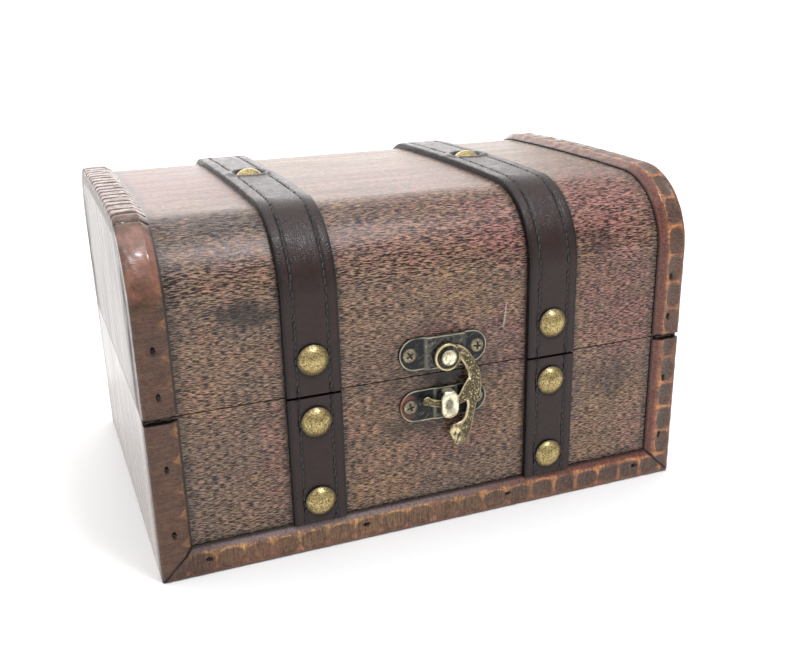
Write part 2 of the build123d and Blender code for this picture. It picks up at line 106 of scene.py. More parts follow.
# The photograph's camera: its place in metres, its azimuth, elevation and roll in degrees, and its lens
CAMERA_PLACE = (-0.126, -0.36012, 0.182985)
CAMERA_ANGLES = (-21.962, 20.692, -1.041)
LENS_LENGTH, LENS_SHIFT = 44.46, (-0.01975, 0.03805)
FLOOR_HALF = 12.0


def length_size(name, millimetres, description):
    """A size property with its default given in millimetres."""
    return bpy.props.FloatProperty(name=name, description=description, default=millimetres * MM, min=0.0,
                                   unit="LENGTH", subtype="DISTANCE", precision=5)


def paint(name, red, green, blue, description):
    """A colour property in linear values."""
    return bpy.props.FloatVectorProperty(name=name, description=description, default=(red, green, blue), size=3,
                                         min=0.0, max=1.0, subtype="COLOR")


class ChestSizes(bpy.types.PropertyGroup):
    """Sizes of the details that the frame leaves to the looks."""
    corner_radius: length_size("Lid corner radius", 26.0, "Radius of the bent plywood at the lid's corners")
    crown_radius: length_size("Crown radius", 1400.0, "Radius of the lid's nearly flat top")
    moulding_width: length_size("Moulding width", 11.0, "Width of the edge mouldings")
    moulding_proud: length_size("Moulding thickness", 2.5, "How far a moulding stands out from the wall")
    moulding_bevel: length_size("Moulding bevel", 2.9, "Width of the bevel beside the panel")
    moulding_lip: length_size("Moulding lip", 0.6, "Height of the moulding's inner edge")
    moulding_round: length_size("Moulding rounding", 1.3, "Radius of the moulding's outer edge")
    scoop_pitch: length_size("Scoop pitch", 10.2, "Distance between the gouged scoops of a moulding")
    scoop_depth: length_size("Scoop depth", 0.55, "Depth of a gouged scoop")
    kerf_pitch: length_size("Kerf pitch", 5.6, "Distance between the saw cuts on the bent moulding's crown")
    kerf_depth: length_size("Kerf depth", 0.5, "Depth of a saw cut")
    strap_width: length_size("Strap width", 19.0, "Width of the leather straps")
    strap_thickness: length_size("Strap thickness", 2.4, "Thickness of the leather straps")
    stitch_inset: length_size("Stitch line", 5.6, "Distance of each stitch line from the strap's middle")
    stitch_pitch: length_size("Stitch pitch", 2.5, "Distance from stitch to stitch")
    thread: length_size("Thread radius", 0.34, "Radius of the stitching thread")
    nail_radius: length_size("Nail radius", 5.3, "Radius of the domed nails")
    nail_rise: length_size("Nail rise", 3.1, "Height of the domed nails")


class ChestColours(bpy.types.PropertyGroup):
    """Colours of the chest's materials."""
    stain: paint("Stain", 0.21, 0.127, 0.072, "Main colour of the stained plywood")
    stain_grey: paint("Grey stain", 0.13, 0.09, 0.068, "The plywood where the stain is greyer")
    # Dark stain, also the colour of the painted shadow about the latch
    dark_stain_and_shadow: paint("Dark stain", 0.02, 0.012, 0.011, "The plywood where the stain is deep")
    stain_red: paint("Red stain", 0.2, 0.07, 0.08, "The plywood where the stain is wine red")
    moulding: paint("Moulding", 0.085, 0.04, 0.024, "Main colour of the mouldings")
    moulding_warm: paint("Warm moulding", 0.2, 0.08, 0.042, "Lighter blotches on the mouldings")
    worn: paint("Worn ridge", 0.72, 0.4, 0.15, "Golden wood worn bare on the mouldings' ridges")
    leather: paint("Leather", 0.024, 0.0115, 0.0098, "Dark leather of the straps")
    brass: paint("Antique brass", 0.58, 0.45, 0.2, "Bright parts of the nails")
    tarnish: paint("Tarnish", 0.14, 0.1, 0.04, "Dark parts of the nails")


def strength(name, default, description, unit="NONE"):
    """A light's strength."""
    return bpy.props.FloatProperty(name=name, description=description, default=default, min=0.0, unit=unit)


class ChestLight(bpy.types.PropertyGroup):
    """Strengths of the studio's light."""
    surround: strength("Surround", 0.55, "Brightness of the white surround in front and at the sides")
    overhead: strength("Overhead", 1.0, "Brightness of the white surround above and behind")
    sky: strength("Sky", 0.75, "Strength of the broad even light from above")
    rear: strength("Rear light", 5.0, "Power of the soft light behind, which glares on the lid's top", "POWER")
    front: strength("Front light", 6.5, "Power of the soft light in front and above", "POWER")


def mm(name):
    """One of the chest's sizes in millimetres."""
    return getattr(bpy.context.scene.chest_sizes, name) / MM


def colour(name, alpha=1.0):
    """One of the chest's colours as four numbers."""
    return (*getattr(bpy.context.scene.chest_colours, name), alpha)


# The line that the bent plywood follows, in the YZ plane
def lid_frame():
    """Corner radius, crown radius, the corner's sweep, and the lengths of upright, corner and half crown."""
    corner, crown = mm("corner_radius"), mm("crown_radius")
    turn = math.asin((WALL_Y - corner) / (crown - corner))
    sweep = math.pi / 2 - turn
    corner_z = LID_TOP - crown + (crown - corner) * math.cos(turn)
    return corner, crown, sweep, corner_z - PARTING, corner * sweep, crown * turn


def lid_length():
    """Length of the lid's line from the front parting line to the back one."""
    _, _, _, upright, bend, half_crown = lid_frame()
    return 2 * (upright + bend + half_crown)


def lid_line(along):
    """Places and outward normals, as YZ pairs, so far along the lid's line."""
    corner, crown, sweep, upright, bend, _ = lid_frame()
    along = np.asarray(along, float)
    total = lid_length()
    near = np.minimum(along, total - along)
    side = np.where(along > total / 2, 1.0, -1.0)
    angle = np.clip((near - upright) / corner, 0, sweep) + np.clip(near - upright - bend, 0, None) / crown
    out_y, out_z = np.cos(angle), np.sin(angle)
    in_upright, in_corner = near < upright, near < upright + bend
    y = np.where(in_upright, WALL_Y, np.where(in_corner, WALL_Y - corner + corner * out_y, crown * out_y))
    z = np.where(in_upright, PARTING + near,
                 np.where(in_corner, PARTING + upright + corner * out_z, LID_TOP - crown + crown * out_z))
    return np.stack([side * y, z], -1), np.stack([side * out_y, out_z], -1)


# Uneven fields and smooth steps
def ripple(points, size, seed, waves=9):
    """A smooth uneven field of about -1 to 1 over points, with bumps of about this size."""
    rng = np.random.default_rng(seed)
    points = np.asarray(points, float)
    total = np.zeros(points.shape[:-1])
    for _ in range(waves):
        direction = rng.normal(size=points.shape[-1])
        direction /= np.linalg.norm(direction)
        total += np.sin(points @ direction * math.pi / (size * rng.uniform(0.6, 1.5)) + rng.uniform(0, 2 * math.pi))
    return total / math.sqrt(waves)


def rise(value, start, end):
    """A smooth step from 0 at start to 1 at end."""
    t = np.clip((np.asarray(value, float) - start) / (end - start), 0, 1)
    return t * t * (3 - 2 * t)


def hump(value, middle, half_width):
    """A smooth bump of height 1 about middle."""
    return np.exp(-((np.asarray(value, float) - middle) / half_width) ** 2)


# Meshes
def ring_faces(rows, columns, wrap=True):
    """Quads between successive rows of points; wrap closes each row on itself."""
    index = np.arange(rows * columns).reshape(rows, columns)
    if wrap:
        index = np.concatenate([index, index[:, :1]], 1)
    return np.stack([index[:-1, :-1], index[:-1, 1:], index[1:, 1:], index[1:, :-1]], -1).reshape(-1, 4).tolist()


class Shape:
    """Points in millimetres with their faces and the values that each point carries for its material."""

    def __init__(self):
        self.points, self.faces, self.values = [], [], {}
        self.count = 0

    def add(self, points, faces, **values):
        """Adds points and faces, with values per point."""
        points = np.asarray(points, float).reshape(-1, 3)
        self.points.append(points)
        self.faces += [[i + self.count for i in face] for face in faces]
        for name, value in values.items():
            value = np.asarray(value, float)
            width = 3 if value.shape[-1:] == (3,) and value.ndim > 1 else 1
            value = value.reshape(-1, width) if width == 3 else value.reshape(-1)
            self.values.setdefault(name, []).append((self.count, value))
        self.count += len(points)
        return self

    def loft(self, rows, caps=True, **values):
        """Adds a tube through closed rows of points, with its two ends closed."""
        rows = np.asarray(rows, float)
        count, around = rows.shape[:2]
        faces = ring_faces(count, around)
        if caps:
            faces += [list(range(around))[::-1], [(count - 1) * around + i for i in range(around)]]
        return self.add(rows, faces, **values)

    def turned(self, profile, place, around=48, dents=0.0, seed=0):
        """Adds a turned form: a profile of radius and height pairs about an axis at a placed frame."""
        rows = np.array([[(r * math.cos(a), r * math.sin(a), h) for a in full_turn(around)] for r, h in profile])
        if dents:
            rows[..., 2] -= dents * np.clip(0.5 + 0.5 * ripple(rows, 2.2, seed), 0, 2) * (rows[..., 2] > 0.3)
        radii, heights = (np.repeat(values, around) for values in zip(*profile))
        rim = radii.max()
        # Painted shadow: a near-black ring round the foot of the rim
        dark = 0.75 * rise(radii, rim - 0.75, rim) * (heights < 0.7 * heights.max())
        return self.loft(placed(rows, place), dark=dark)

    def mesh(self, name):
        """The mesh of all that was added, in metres, its normals outward."""
        made = bpy.data.meshes.new(name)
        made.from_pydata((np.concatenate(self.points) * MM).tolist(), [], self.faces)
        for value_name, parts in self.values.items():
            data = np.zeros((self.count, *parts[0][1].shape[1:]), np.float32)
            for start, value in parts:
                data[start:start + len(value)] = value
            carry(made, value_name, data)
        return outward(made)


def full_turn(count):
    """Evenly spaced angles all the way round."""
    return np.linspace(0, 2 * math.pi, count, endpoint=False)


def placed(rows, place):
    """Rows of points brought into a placed frame."""
    moved = rows.reshape(-1, 3) @ np.array(place.to_3x3()).T + np.array(place.to_translation())
    return moved.reshape(rows.shape)


def carry(mesh, name, data):
    """Lets a mesh's points carry numbers, or vectors, for its material."""
    vector = data.ndim == 2
    layer = mesh.attributes.new(name, "FLOAT_VECTOR" if vector else "FLOAT", "POINT")
    layer.data.foreach_set("vector" if vector else "value", data.astype(np.float32).ravel())


def outward(mesh):
    """The mesh with its normals turned outward."""
    work = bmesh.new()
    work.from_mesh(mesh)
    bmesh.ops.recalc_face_normals(work, faces=work.faces)
    work.to_mesh(mesh)
    work.free()
    return mesh


def smooth_shade(mesh, sharp_degrees=38):
    """Smooth shading that keeps edges sharper than this."""
    mesh.polygons.foreach_set("use_smooth", [True] * len(mesh.polygons))
    mesh.set_sharp_from_angle(angle=math.radians(sharp_degrees))


def place_piece(mesh, name, body, material, nodes=(), sharp_degrees=38):
    """Makes the mesh a piece of the chest that rides on a body and stands for CAD nodes."""
    smooth_shade(mesh, sharp_degrees)
    piece = bpy.data.objects.new(name, mesh)
    bpy.context.scene.collection.objects.link(piece)
    mesh.materials.clear()
    mesh.materials.append(material)
    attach(piece, body)
    if nodes:
        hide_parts(*nodes)
    return piece


def dress(node, shape, ending, body, slot, made_of=None, sharp_degrees=38):
    """Makes a shape or a mesh the piece that stands for a CAD node, named after it."""
    name = node + ending
    mesh = shape.mesh(name) if isinstance(shape, Shape) else shape
    return place_piece(mesh, name, body, material(made_of or slot), [node], sharp_degrees)


def finish_node(node, name):
    """Gives a CAD node that stays the material of this name."""
    materials = frame["nodes"][node].data.materials
    materials.clear()
    materials.append(material(name))


# Material nodes
class Wiring:
    """Adds nodes to a node tree and wires them."""

    def __init__(self, tree):
        self.tree = tree

    def add(self, kind, values=None, **settings):
        """Adds one node; values go to its inputs, as numbers or as other nodes' outputs."""
        made = self.tree.nodes.new("ShaderNode" + kind)
        for key, value in settings.items():
            setattr(made, key, value)
        for key, value in (values or {}).items():
            if isinstance(value, bpy.types.NodeSocket):
                self.tree.links.new(value, made.inputs[key])
            else:
                made.inputs[key].default_value = value
        return made

    def math(self, operation, first, second=0.0, clamp=False):
        """A Math node."""
        return self.add("Math", {0: first, 1: second}, operation=operation, use_clamp=clamp).outputs[0]

    def times(self, first, second, clamp=False):
        """One value times another."""
        return self.math("MULTIPLY", first, second, clamp)

    def plus(self, first, second, clamp=False):
        """One value plus another."""
        return self.math("ADD", first, second, clamp)

    def minus(self, first, second, clamp=False):
        """One value less another."""
        return self.math("SUBTRACT", first, second, clamp)

    def larger(self, first, second):
        """The larger of two values."""
        return self.math("MAXIMUM", first, second)

    def size_of(self, value):
        """A value without its sign."""
        return self.math("ABSOLUTE", value)

    def mix(self, factor, first, second, blend="MIX"):
        """A colour mix; a colour may be given as three numbers."""
        first, second = ((*tone, 1.0) if isinstance(tone, tuple) and len(tone) == 3 else tone
                         for tone in (first, second))
        return self.add("Mix", {0: factor, 6: first, 7: second}, data_type="RGBA", blend_type=blend,
                        clamp_factor=True).outputs[2]

    def tint(self, tone, other, mask, strong):
        """A colour with another laid over it, as strong as this where the mask is 1."""
        return self.mix(self.times(mask, strong), tone, other)

    def product(self, tone, other):
        """One colour times another."""
        return self.mix(1.0, tone, other, "MULTIPLY")

    def step(self, value, start, end, low=0.0, high=1.0):
        """A smooth step of value between start and end, from low to high."""
        return self.add("MapRange", {"Value": value, "From Min": start, "From Max": end, "To Min": low,
                                     "To Max": high}, interpolation_type="SMOOTHSTEP").outputs[0]

    def vector(self, operation, first, second, output=0):
        """A Vector Math node."""
        return self.add("VectorMath", {0: first, 1: second}, operation=operation).outputs[output]

    def stretch(self, vector, factors):
        """A vector times three factors."""
        return self.vector("MULTIPLY", vector, factors)

    def axes(self, vector):
        """A vector's X, Y and Z."""
        return self.add("SeparateXYZ", {0: vector}).outputs

    def noise(self, vector, scale, detail=3.0, roughness=0.5, distortion=0.0):
        """A noise texture's value."""
        return self.add("TexNoise", {"Vector": vector, "Scale": scale, "Detail": detail, "Roughness": roughness,
                                     "Distortion": distortion}).outputs[0]

    def place(self):
        """The place on the piece in metres, in the chest's own frame."""
        return self.add("TexCoord").outputs["Object"]

    def carried(self, name, output="Fac"):
        """What the mesh's points carry under a name, as a number or as a Vector."""
        return self.add("Attribute", attribute_name=name, attribute_type="GEOMETRY").outputs[output]

    def fill(self, effect, **values):
        """Places a shared effect with its own values, with underscores for spaces, and returns its outputs."""
        values = {key.replace("_", " "): value for key, value in values.items()}
        return self.add("Group", values, node_tree=effect()).outputs


SOCKETS = {"value": "NodeSocketFloat", "vector": "NodeSocketVector"}


def effect(name, inputs, outputs):
    """A decorator that builds a shared effect once, as a node group with named inputs and outputs."""
    def wrap(build):
        def made():
            group = bpy.data.node_groups.get(name)
            if group:
                return group
            group = bpy.data.node_groups.new(name, "ShaderNodeTree")
            for label, kind, default in inputs:
                socket = group.interface.new_socket(label, in_out="INPUT", socket_type=SOCKETS[kind])
                if default is not None:
                    socket.default_value = default
            for label, kind in outputs:
                group.interface.new_socket(label, in_out="OUTPUT", socket_type=SOCKETS[kind])
            source, target = group.nodes.new("NodeGroupInput"), group.nodes.new("NodeGroupOutput")
            for label, socket in build(Wiring(group), source.outputs).items():
                group.links.new(socket, target.inputs[label])
            return group
        return made
    return wrap


@effect("Wood fibre", [("Vector", "vector", None), ("Fleck Length", "value", 460.0), ("Fleck Width", "value", 4500.0)],
        [("Flecks", "value"), ("Pores", "value"), ("Streaks", "value"), ("Height", "value")])
def wood_fibre(w, source):
    """Short light flecks, dark pores and long soft streaks along the vector's X."""
    scale = w.add("CombineXYZ", {0: source["Fleck Length"], 1: source["Fleck Width"], 2: source["Fleck Width"]})
    stretched = w.stretch(source["Vector"], scale.outputs[0])
    clumps = w.noise(w.stretch(stretched, (0.17, 0.1, 0.1)), 1.0, 3.0, 0.6)
    fine = w.plus(w.noise(stretched, 1.0, 1.0, 0.5, 0.3), w.times(w.minus(clumps, 0.5), 0.14))
    streaks = w.step(w.noise(w.stretch(source["Vector"], (22.0, 260.0, 260.0)), 1.0, 4.0, 0.6, 0.4), 0.35, 0.7)
    return {"Flecks": w.step(fine, 0.475, 0.575), "Pores": w.step(fine, 0.42, 0.28), "Streaks": streaks,
            "Height": w.plus(w.times(fine, 0.9), w.times(streaks, 0.1))}


@effect("Stain clouds", [("Vector", "vector", None), ("Size", "value", 0.03)],
        [("Clouds", "value"), ("Blotches", "value")])
def stain_clouds(w, source):
    """Large soft clouds and smaller blotches of uneven stain."""
    scale = w.math("DIVIDE", 1.0, source["Size"])
    shifted = w.vector("ADD", source["Vector"], (0.7, 0.3, 0.9))
    return {"Clouds": w.step(w.noise(source["Vector"], scale, 3.0, 0.55, 0.3), 0.3, 0.7),
            "Blotches": w.step(w.noise(shifted, w.times(scale, 3.7), 5.0, 0.62, 0.6), 0.35, 0.7)}


@effect("Soft patch", [("Vector", "vector", None), ("Centre", "vector", (0.0, 0.0, 0.0)),
                       ("Reach", "vector", (0.02, 0.02, 0.02)), ("Ragged", "value", 0.35)],
        [("Mask", "value")])
def soft_patch(w, source):
    """A soft ragged patch about a place, of a reach along each axis."""
    away = w.vector("DIVIDE", w.vector("SUBTRACT", source["Vector"], source["Centre"]), source["Reach"])
    distance = w.add("VectorMath", {0: away}, operation="LENGTH").outputs["Value"]
    ragged = w.times(w.minus(w.noise(source["Vector"], 160.0, 4.0, 0.6), 0.5), source["Ragged"])
    return {"Mask": w.step(w.plus(distance, w.times(ragged, 2.0)), 1.0, 0.25)}


@effect("Metal age", [("Vector", "vector", None), ("Size", "value", 0.0016), ("Amount", "value", 0.5)],
        [("Tarnish", "value"), ("Scratches", "value"), ("Height", "value")])
def metal_age(w, source):
    """Mottled tarnish, fine scratches and small pits of old cast brass."""
    mottle = w.noise(source["Vector"], w.math("DIVIDE", 1.0, source["Size"]), 5.0, 0.68, 0.5)
    low = w.minus(0.58, w.times(source["Amount"], 0.3))
    turned = w.add("VectorRotate", {"Vector": source["Vector"], "Axis": (0.2, 1.0, 0.1), "Angle": 0.6}).outputs[0]
    scratch = w.noise(w.stretch(turned, (260.0, 260.0, 5200.0)), 1.0, 2.0, 0.5, 0.4)
    return {"Tarnish": w.step(mottle, low, w.plus(low, 0.16)), "Scratches": w.step(scratch, 0.62, 0.7),
            "Height": w.plus(mottle, w.times(scratch, 0.4))}


def new_material(name):
    """A new material's wiring and its shader, in a tree with nothing else."""
    made = bpy.data.materials.new(OWN + name)
    made.use_nodes = True
    made.node_tree.nodes.clear()
    w = Wiring(made.node_tree)
    shader = w.add("BsdfPrincipled")
    w.tree.links.new(shader.outputs[0], w.add("OutputMaterial").inputs["Surface"])
    return w, shader


def bump(w, shader, height, strength, distance_mm):
    """Feeds a height into the shader's normal."""
    made = w.add("Bump", {"Strength": strength, "Distance": distance_mm * MM, "Height": height})
    w.tree.links.new(made.outputs[0], shader.inputs["Normal"])


def feed(w, shader, **sockets):
    """Links or sets the shader's inputs, with underscores for spaces."""
    for key, value in sockets.items():
        socket = shader.inputs[key.replace("_", " ").title().replace("Ior", "IOR")]
        if isinstance(value, bpy.types.NodeSocket):
            w.tree.links.new(value, socket)
        else:
            socket.default_value = value


# Places in the chest's frame where the plywood's colour differs, as centre, reach and strength, in metres: red and
# grey stain, darker wood, and painted shadow about the latch
RED_PATCHES = (
    ((0.072, -0.06, 0.11), (0.03, 0.05, 0.02), 0.75),
    ((0.028, -0.062, 0.104), (0.018, 0.04, 0.016), 0.65),
    ((0.0, -0.02, 0.118), (0.05, 0.05, 0.012), 0.5),
    ((-0.075, 0.0, 0.118), (0.04, 0.06, 0.012), 0.8),
    ((0.0, -0.062, 0.107), (0.13, 0.03, 0.013), 0.4),
    ((0.072, -0.068, 0.086), (0.026, 0.02, 0.024), 0.5),
    ((0.08, -0.07, 0.066), (0.026, 0.01, 0.022), 0.6),
    ((0.03, -0.07, 0.066), (0.022, 0.01, 0.016), 0.5),
    ((0.004, -0.07, 0.0735), (0.016, 0.01, 0.004), 0.7),
    ((-0.056, -0.07, 0.04), (0.009, 0.01, 0.028), 0.4),
    ((0.006, -0.07, 0.032), (0.024, 0.01, 0.01), 0.4),
    ((0.084, -0.07, 0.022), (0.012, 0.01, 0.014), 0.4),
)
GREY_PATCHES = (
    ((-0.084, -0.068, 0.095), (0.011, 0.02, 0.018), 0.5),
    ((-0.07, -0.053, 0.1135), (0.036, 0.012, 0.007), 0.85),
    ((-0.02, -0.054, 0.112), (0.034, 0.012, 0.007), 0.5),
    ((-0.068, -0.07, 0.084), (0.014, 0.01, 0.008), 0.4),
)
# Darker patches: the first is painted shadow under the swing hook between the latch plates; the second darkens the
# wood round the latch, partly painted shade of the plates and partly darker stain; the rest darken the wood in spots
DARK_AND_SHADOW_PATCHES = (
    ((0.0035, -0.07, 0.0567), (0.0105, 0.01, 0.006), 0.85),
    ((0.0, -0.07, 0.0567), (0.036, 0.012, 0.025), 0.36),
    ((-0.066, -0.07, 0.088), (0.012, 0.01, 0.006), 0.55),
    ((-0.005, -0.07, 0.04), (0.03, 0.01, 0.006), 0.35),
    ((0.074, -0.07, 0.044), (0.012, 0.01, 0.012), 0.35),
    ((0.064, -0.068, 0.097), (0.012, 0.02, 0.008), 0.35),
)
# A light scratch on the lid's front: the X and Z of its middle, its half length and its lean
SCRATCH = (0.0266, 0.0753, 0.0056, 0.127)


def near_edges(w, place):
    """How near a panel's place is to a moulding, a strap or the sill, where the panel is painted darker."""
    x, _, z = w.axes(place)
    ragged = w.times(w.minus(w.noise(place, 420.0, 3.0, 0.6), 0.5), 0.004)
    across = w.plus(w.size_of(x), ragged)
    from_moulding = w.step(across, 0.0845, 0.0885)
    from_strap = w.step(w.size_of(w.minus(across, STRAP_X * MM)), 0.0125, 0.0098)
    from_sill = w.step(w.plus(z, ragged), 0.0145, 0.0112)
    near = w.larger(w.times(from_moulding, 0.8), w.times(from_strap, 0.75))
    return w.larger(near, w.times(from_sill, 0.8))


def scratch_mark(w, place):
    """The light scratch on the lid's front."""
    x, y, z = w.axes(place)
    middle_x, middle_z, half, lean = SCRATCH
    along = w.minus(z, middle_z)
    beside = w.minus(w.minus(x, middle_x), w.times(along, lean))
    line = w.step(w.size_of(beside), 0.0004, 0.00015)
    length = w.step(w.size_of(along), half, half * 0.6)
    return w.times(w.times(line, length), w.step(y, -0.066, -0.069))


def outer_side(w, place):
    """Masks the outside of the walls and the lid, whose inside is plain."""
    _, y, z = w.axes(place)
    corner = mm("corner_radius")
    over = w.larger(w.minus(w.size_of(y), (WALL_Y - corner) * MM), 0.0)
    above = w.larger(w.minus(z, (PARTING + lid_frame()[3]) * MM), 0.0)
    away = w.math("SQRT", w.plus(w.times(over, over), w.times(above, above)))
    return w.step(away, (corner - 2.4) * MM, (corner - 1.6) * MM)


def patch_mask(w, place, centre, reach, ragged):
    """The mask of one soft patch."""
    return w.fill(soft_patch, Vector=place, Centre=centre, Reach=reach, Ragged=ragged)["Mask"]


def stained_ply():
    """Stained plywood: dark mottled stain, wine red in places, dense with short light fibres; painted shade at the
    latch.
    """
    w, shader = new_material("stained_plywood")
    place, dark = w.place(), colour("dark_stain_and_shadow")
    fibre = w.fill(wood_fibre, Vector=place)
    clouds = w.fill(stain_clouds, Vector=w.stretch(place, (0.7, 1.0, 1.0)), Size=0.02)
    tone = w.mix(clouds["Clouds"], colour("stain"), colour("stain_grey"))
    tone = w.tint(tone, colour("stain_red"), clouds["Blotches"], 0.22)
    # shade gathers the darker patches, the painted shadow about the latch among them; where it is strong the light
    # fibres fade
    shade = 0.0
    for patches, stain in ((RED_PATCHES, colour("stain_red")), (GREY_PATCHES, (0.06, 0.052, 0.062)),
                           (DARK_AND_SHADOW_PATCHES, dark)):
        for centre, reach, strong in patches:
            mask = w.times(patch_mask(w, place, centre, reach, 0.9), strong)
            tone = w.mix(mask, tone, stain)
            if patches is DARK_AND_SHADOW_PATCHES:
                shade = w.larger(shade, mask)
    tone = w.tint(tone, dark, fibre["Streaks"], 0.2)
    tone = w.tint(tone, dark, near_edges(w, place), 0.85)
    deep = w.tint(w.product(tone, (0.14, 0.11, 0.13)), dark, fibre["Pores"], 0.7)
    fresh = w.mix(w.step(w.noise(place, 900.0, 1.0), 0.4, 0.6), (2.3, 2.15, 1.7), (2.2, 1.8, 1.7))
    fresh = w.mix(0.3, w.product(tone, fresh), (0.36, 0.28, 0.2))
    tone = w.tint(deep, fresh, fibre["Flecks"], w.minus(1.0, shade))
    tone = w.tint(tone, (0.5, 0.42, 0.38), scratch_mark(w, place), 0.55)
    plain = w.mix(fibre["Streaks"], (0.24, 0.15, 0.095), (0.14, 0.082, 0.05))
    plain = w.tint(plain, (0.06, 0.035, 0.022), fibre["Pores"], 0.6)
    feed(w, shader, base_color=w.mix(outer_side(w, place), plain, tone),
         roughness=w.step(fibre["Height"], 0.3, 0.7, 0.26, 0.44), specular_ior_level=0.42)
    bump(w, shader, fibre["Height"], 0.6, 0.12)


def end_wood():
    """The end boards: the stain painted pale and grey, a painted glare of the light on them, with upright grain."""
    w, shader = new_material("end_board_wood")
    place = w.place()
    turned = w.add("VectorRotate", {"Vector": place, "Axis": (0.0, 1.0, 0.0), "Angle": math.pi / 2}).outputs[0]
    fibre = w.fill(wood_fibre, Vector=turned, Fleck_Length=320.0, Fleck_Width=2400.0)
    clouds = w.fill(stain_clouds, Vector=w.stretch(place, (1.0, 1.0, 0.4)), Size=0.022)
    tone = w.tint((0.24, 0.18, 0.145), (0.1, 0.078, 0.07), clouds["Clouds"], 0.6)
    tone = w.tint(tone, (0.08, 0.06, 0.052), fibre["Streaks"], 0.6)
    tone = w.tint(tone, colour("dark_stain_and_shadow"), fibre["Pores"], 0.6)
    _, y, z = w.axes(place)
    upper = w.step(z, PARTING * MM, (PARTING + 0.3) * MM)
    border = w.times(upper, w.step(w.size_of(y), 0.045, 0.066))
    # Painted glare: the base's end boards are painted brighter than the lid's
    tone = w.product(tone, w.mix(upper, (1.45, 1.45, 1.45), (1.0, 1.0, 1.0)))
    tone = w.tint(tone, (0.05, 0.038, 0.032), border, 0.75)
    dull = w.times(border, w.step(clouds["Blotches"], 0.0, 0.6, 0.6, 1.0))
    shine = w.minus(0.95, w.times(upper, 0.3))
    feed(w, shader, base_color=tone, roughness=w.larger(w.step(fibre["Streaks"], 0.0, 1.0, 0.36, 0.6), dull),
         coat_weight=w.times(shine, w.minus(1.0, dull)), coat_roughness=0.25)
    bump(w, shader, w.plus(fibre["Height"], w.times(clouds["Blotches"], 0.8)), 0.6, 0.2)


def inner_wood():
    """The plain bottom board."""
    w, shader = new_material("bottom_board_wood")
    fibre = w.fill(wood_fibre, Vector=w.place(), Fleck_Length=220.0, Fleck_Width=1800.0)
    tone = w.mix(fibre["Streaks"], (0.3, 0.19, 0.12), (0.17, 0.1, 0.06))
    tone = w.tint(tone, (0.07, 0.04, 0.025), fibre["Pores"], 0.5)
    feed(w, shader, base_color=tone, roughness=w.step(fibre["Height"], 0.2, 0.8, 0.5, 0.75))
    bump(w, shader, fibre["Height"], 0.3, 0.12)


def moulding_wood():
    """The mouldings: brown stain, dark scoops with saw lines, and wood worn golden and pink between them; painted
    highlight at the lid's left corners, painted glare on the lid's crowns, painted shade by the joints.
    """
    w, shader = new_material("moulding_wood")
    strip, place, scoop = w.carried("strip", "Vector"), w.place(), w.carried("scoop")
    x = w.axes(place)[0]
    east, west = w.step(x, -0.03, 0.07), w.step(x, -0.07, -0.0895)
    fibre = w.fill(wood_fibre, Vector=w.stretch(strip, (MM, MM, MM)), Fleck_Length=2600.0, Fleck_Width=900.0)
    clouds = w.fill(stain_clouds, Vector=place, Size=0.009)
    blotches = clouds["Blotches"]
    saw = w.step(w.noise(w.stretch(strip, (1.9, 0.16, 0.16)), 1.0, 3.0, 0.6, 0.3), 0.4, 0.62)
    tone = w.mix(clouds["Clouds"], colour("moulding"), colour("moulding_warm"))
    tone = w.tint(tone, (0.055, 0.032, 0.023), blotches, 0.6)
    tone = w.tint(tone, w.mix(east, (0.09, 0.047, 0.024), (0.042, 0.026, 0.02)), scoop, 0.8)
    lines = w.times(w.times(saw, scoop), w.step(east, 0.0, 1.0, 0.65, 0.45))
    tone = w.mix(lines, tone, w.mix(east, (0.38, 0.22, 0.11), (0.16, 0.1, 0.075)))
    speckle = w.step(w.noise(strip, 2.6, 2.0, 0.6), 0.5, 0.62)
    cove = w.tint(w.mix(east, (0.25, 0.2, 0.21), (0.15, 0.042, 0.032)), (0.03, 0.02, 0.022), speckle, 0.65)
    tone = w.tint(tone, cove, w.carried("cove"), 0.85)
    # Painted glare: the crowns of the lid's mouldings are painted pale, the left one fully
    tone = w.tint(tone, w.mix(blotches, (0.42, 0.28, 0.24), (0.22, 0.13, 0.11)), w.carried("pale"), 0.85)
    patchy = w.plus(w.plus(0.15, w.times(saw, 0.7)), w.times(blotches, 0.35))
    for name, left, right in (("pink", (0.4, 0.19, 0.12), (0.52, 0.21, 0.11)),
                              ("gold", colour("worn"), (0.68, 0.29, 0.11))):
        tone = w.mix(w.times(w.carried(name), patchy, clamp=True), tone, w.mix(east, left, right))
    tone = w.tint(tone, (0.02, 0.012, 0.01), fibre["Pores"], 0.55)
    tone = w.tint(tone, (0.5, 0.33, 0.24), fibre["Flecks"], 0.12)
    # Painted highlight: the lid's left corners are painted lighter and redder where the light glints on the bend,
    # partly redder wood; their coat makes them glossy too
    corner = 0.0
    for wall, _ in WALLS:
        corner = w.larger(corner, patch_mask(w, place, (-0.094, wall * 0.064, 0.109), (0.012, 0.016, 0.018), 0.8))
    tone = w.tint(tone, w.mix(blotches, (0.6, 0.25, 0.17), (0.25, 0.09, 0.06)), corner, 0.75)
    tone = w.product(tone, w.mix(west, (0.88, 0.84, 0.8), (0.5, 0.44, 0.4)))
    # Near black where the mesh marks it dark: painted shade by the panel and the parting gap, and dark mitres, brad
    # holes and kerfs
    tone = w.mix(w.carried("dark"), tone, w.mix(east, (0.006, 0.003, 0.003), (0.016, 0.004, 0.005)))
    feed(w, shader, base_color=tone, roughness=w.step(blotches, 0.0, 1.0, 0.22, 0.4), specular_ior_level=0.42,
         coat_weight=corner, coat_roughness=0.2)
    bump(w, shader, w.plus(fibre["Height"], w.times(lines, 1.2)), 0.45, 0.12)


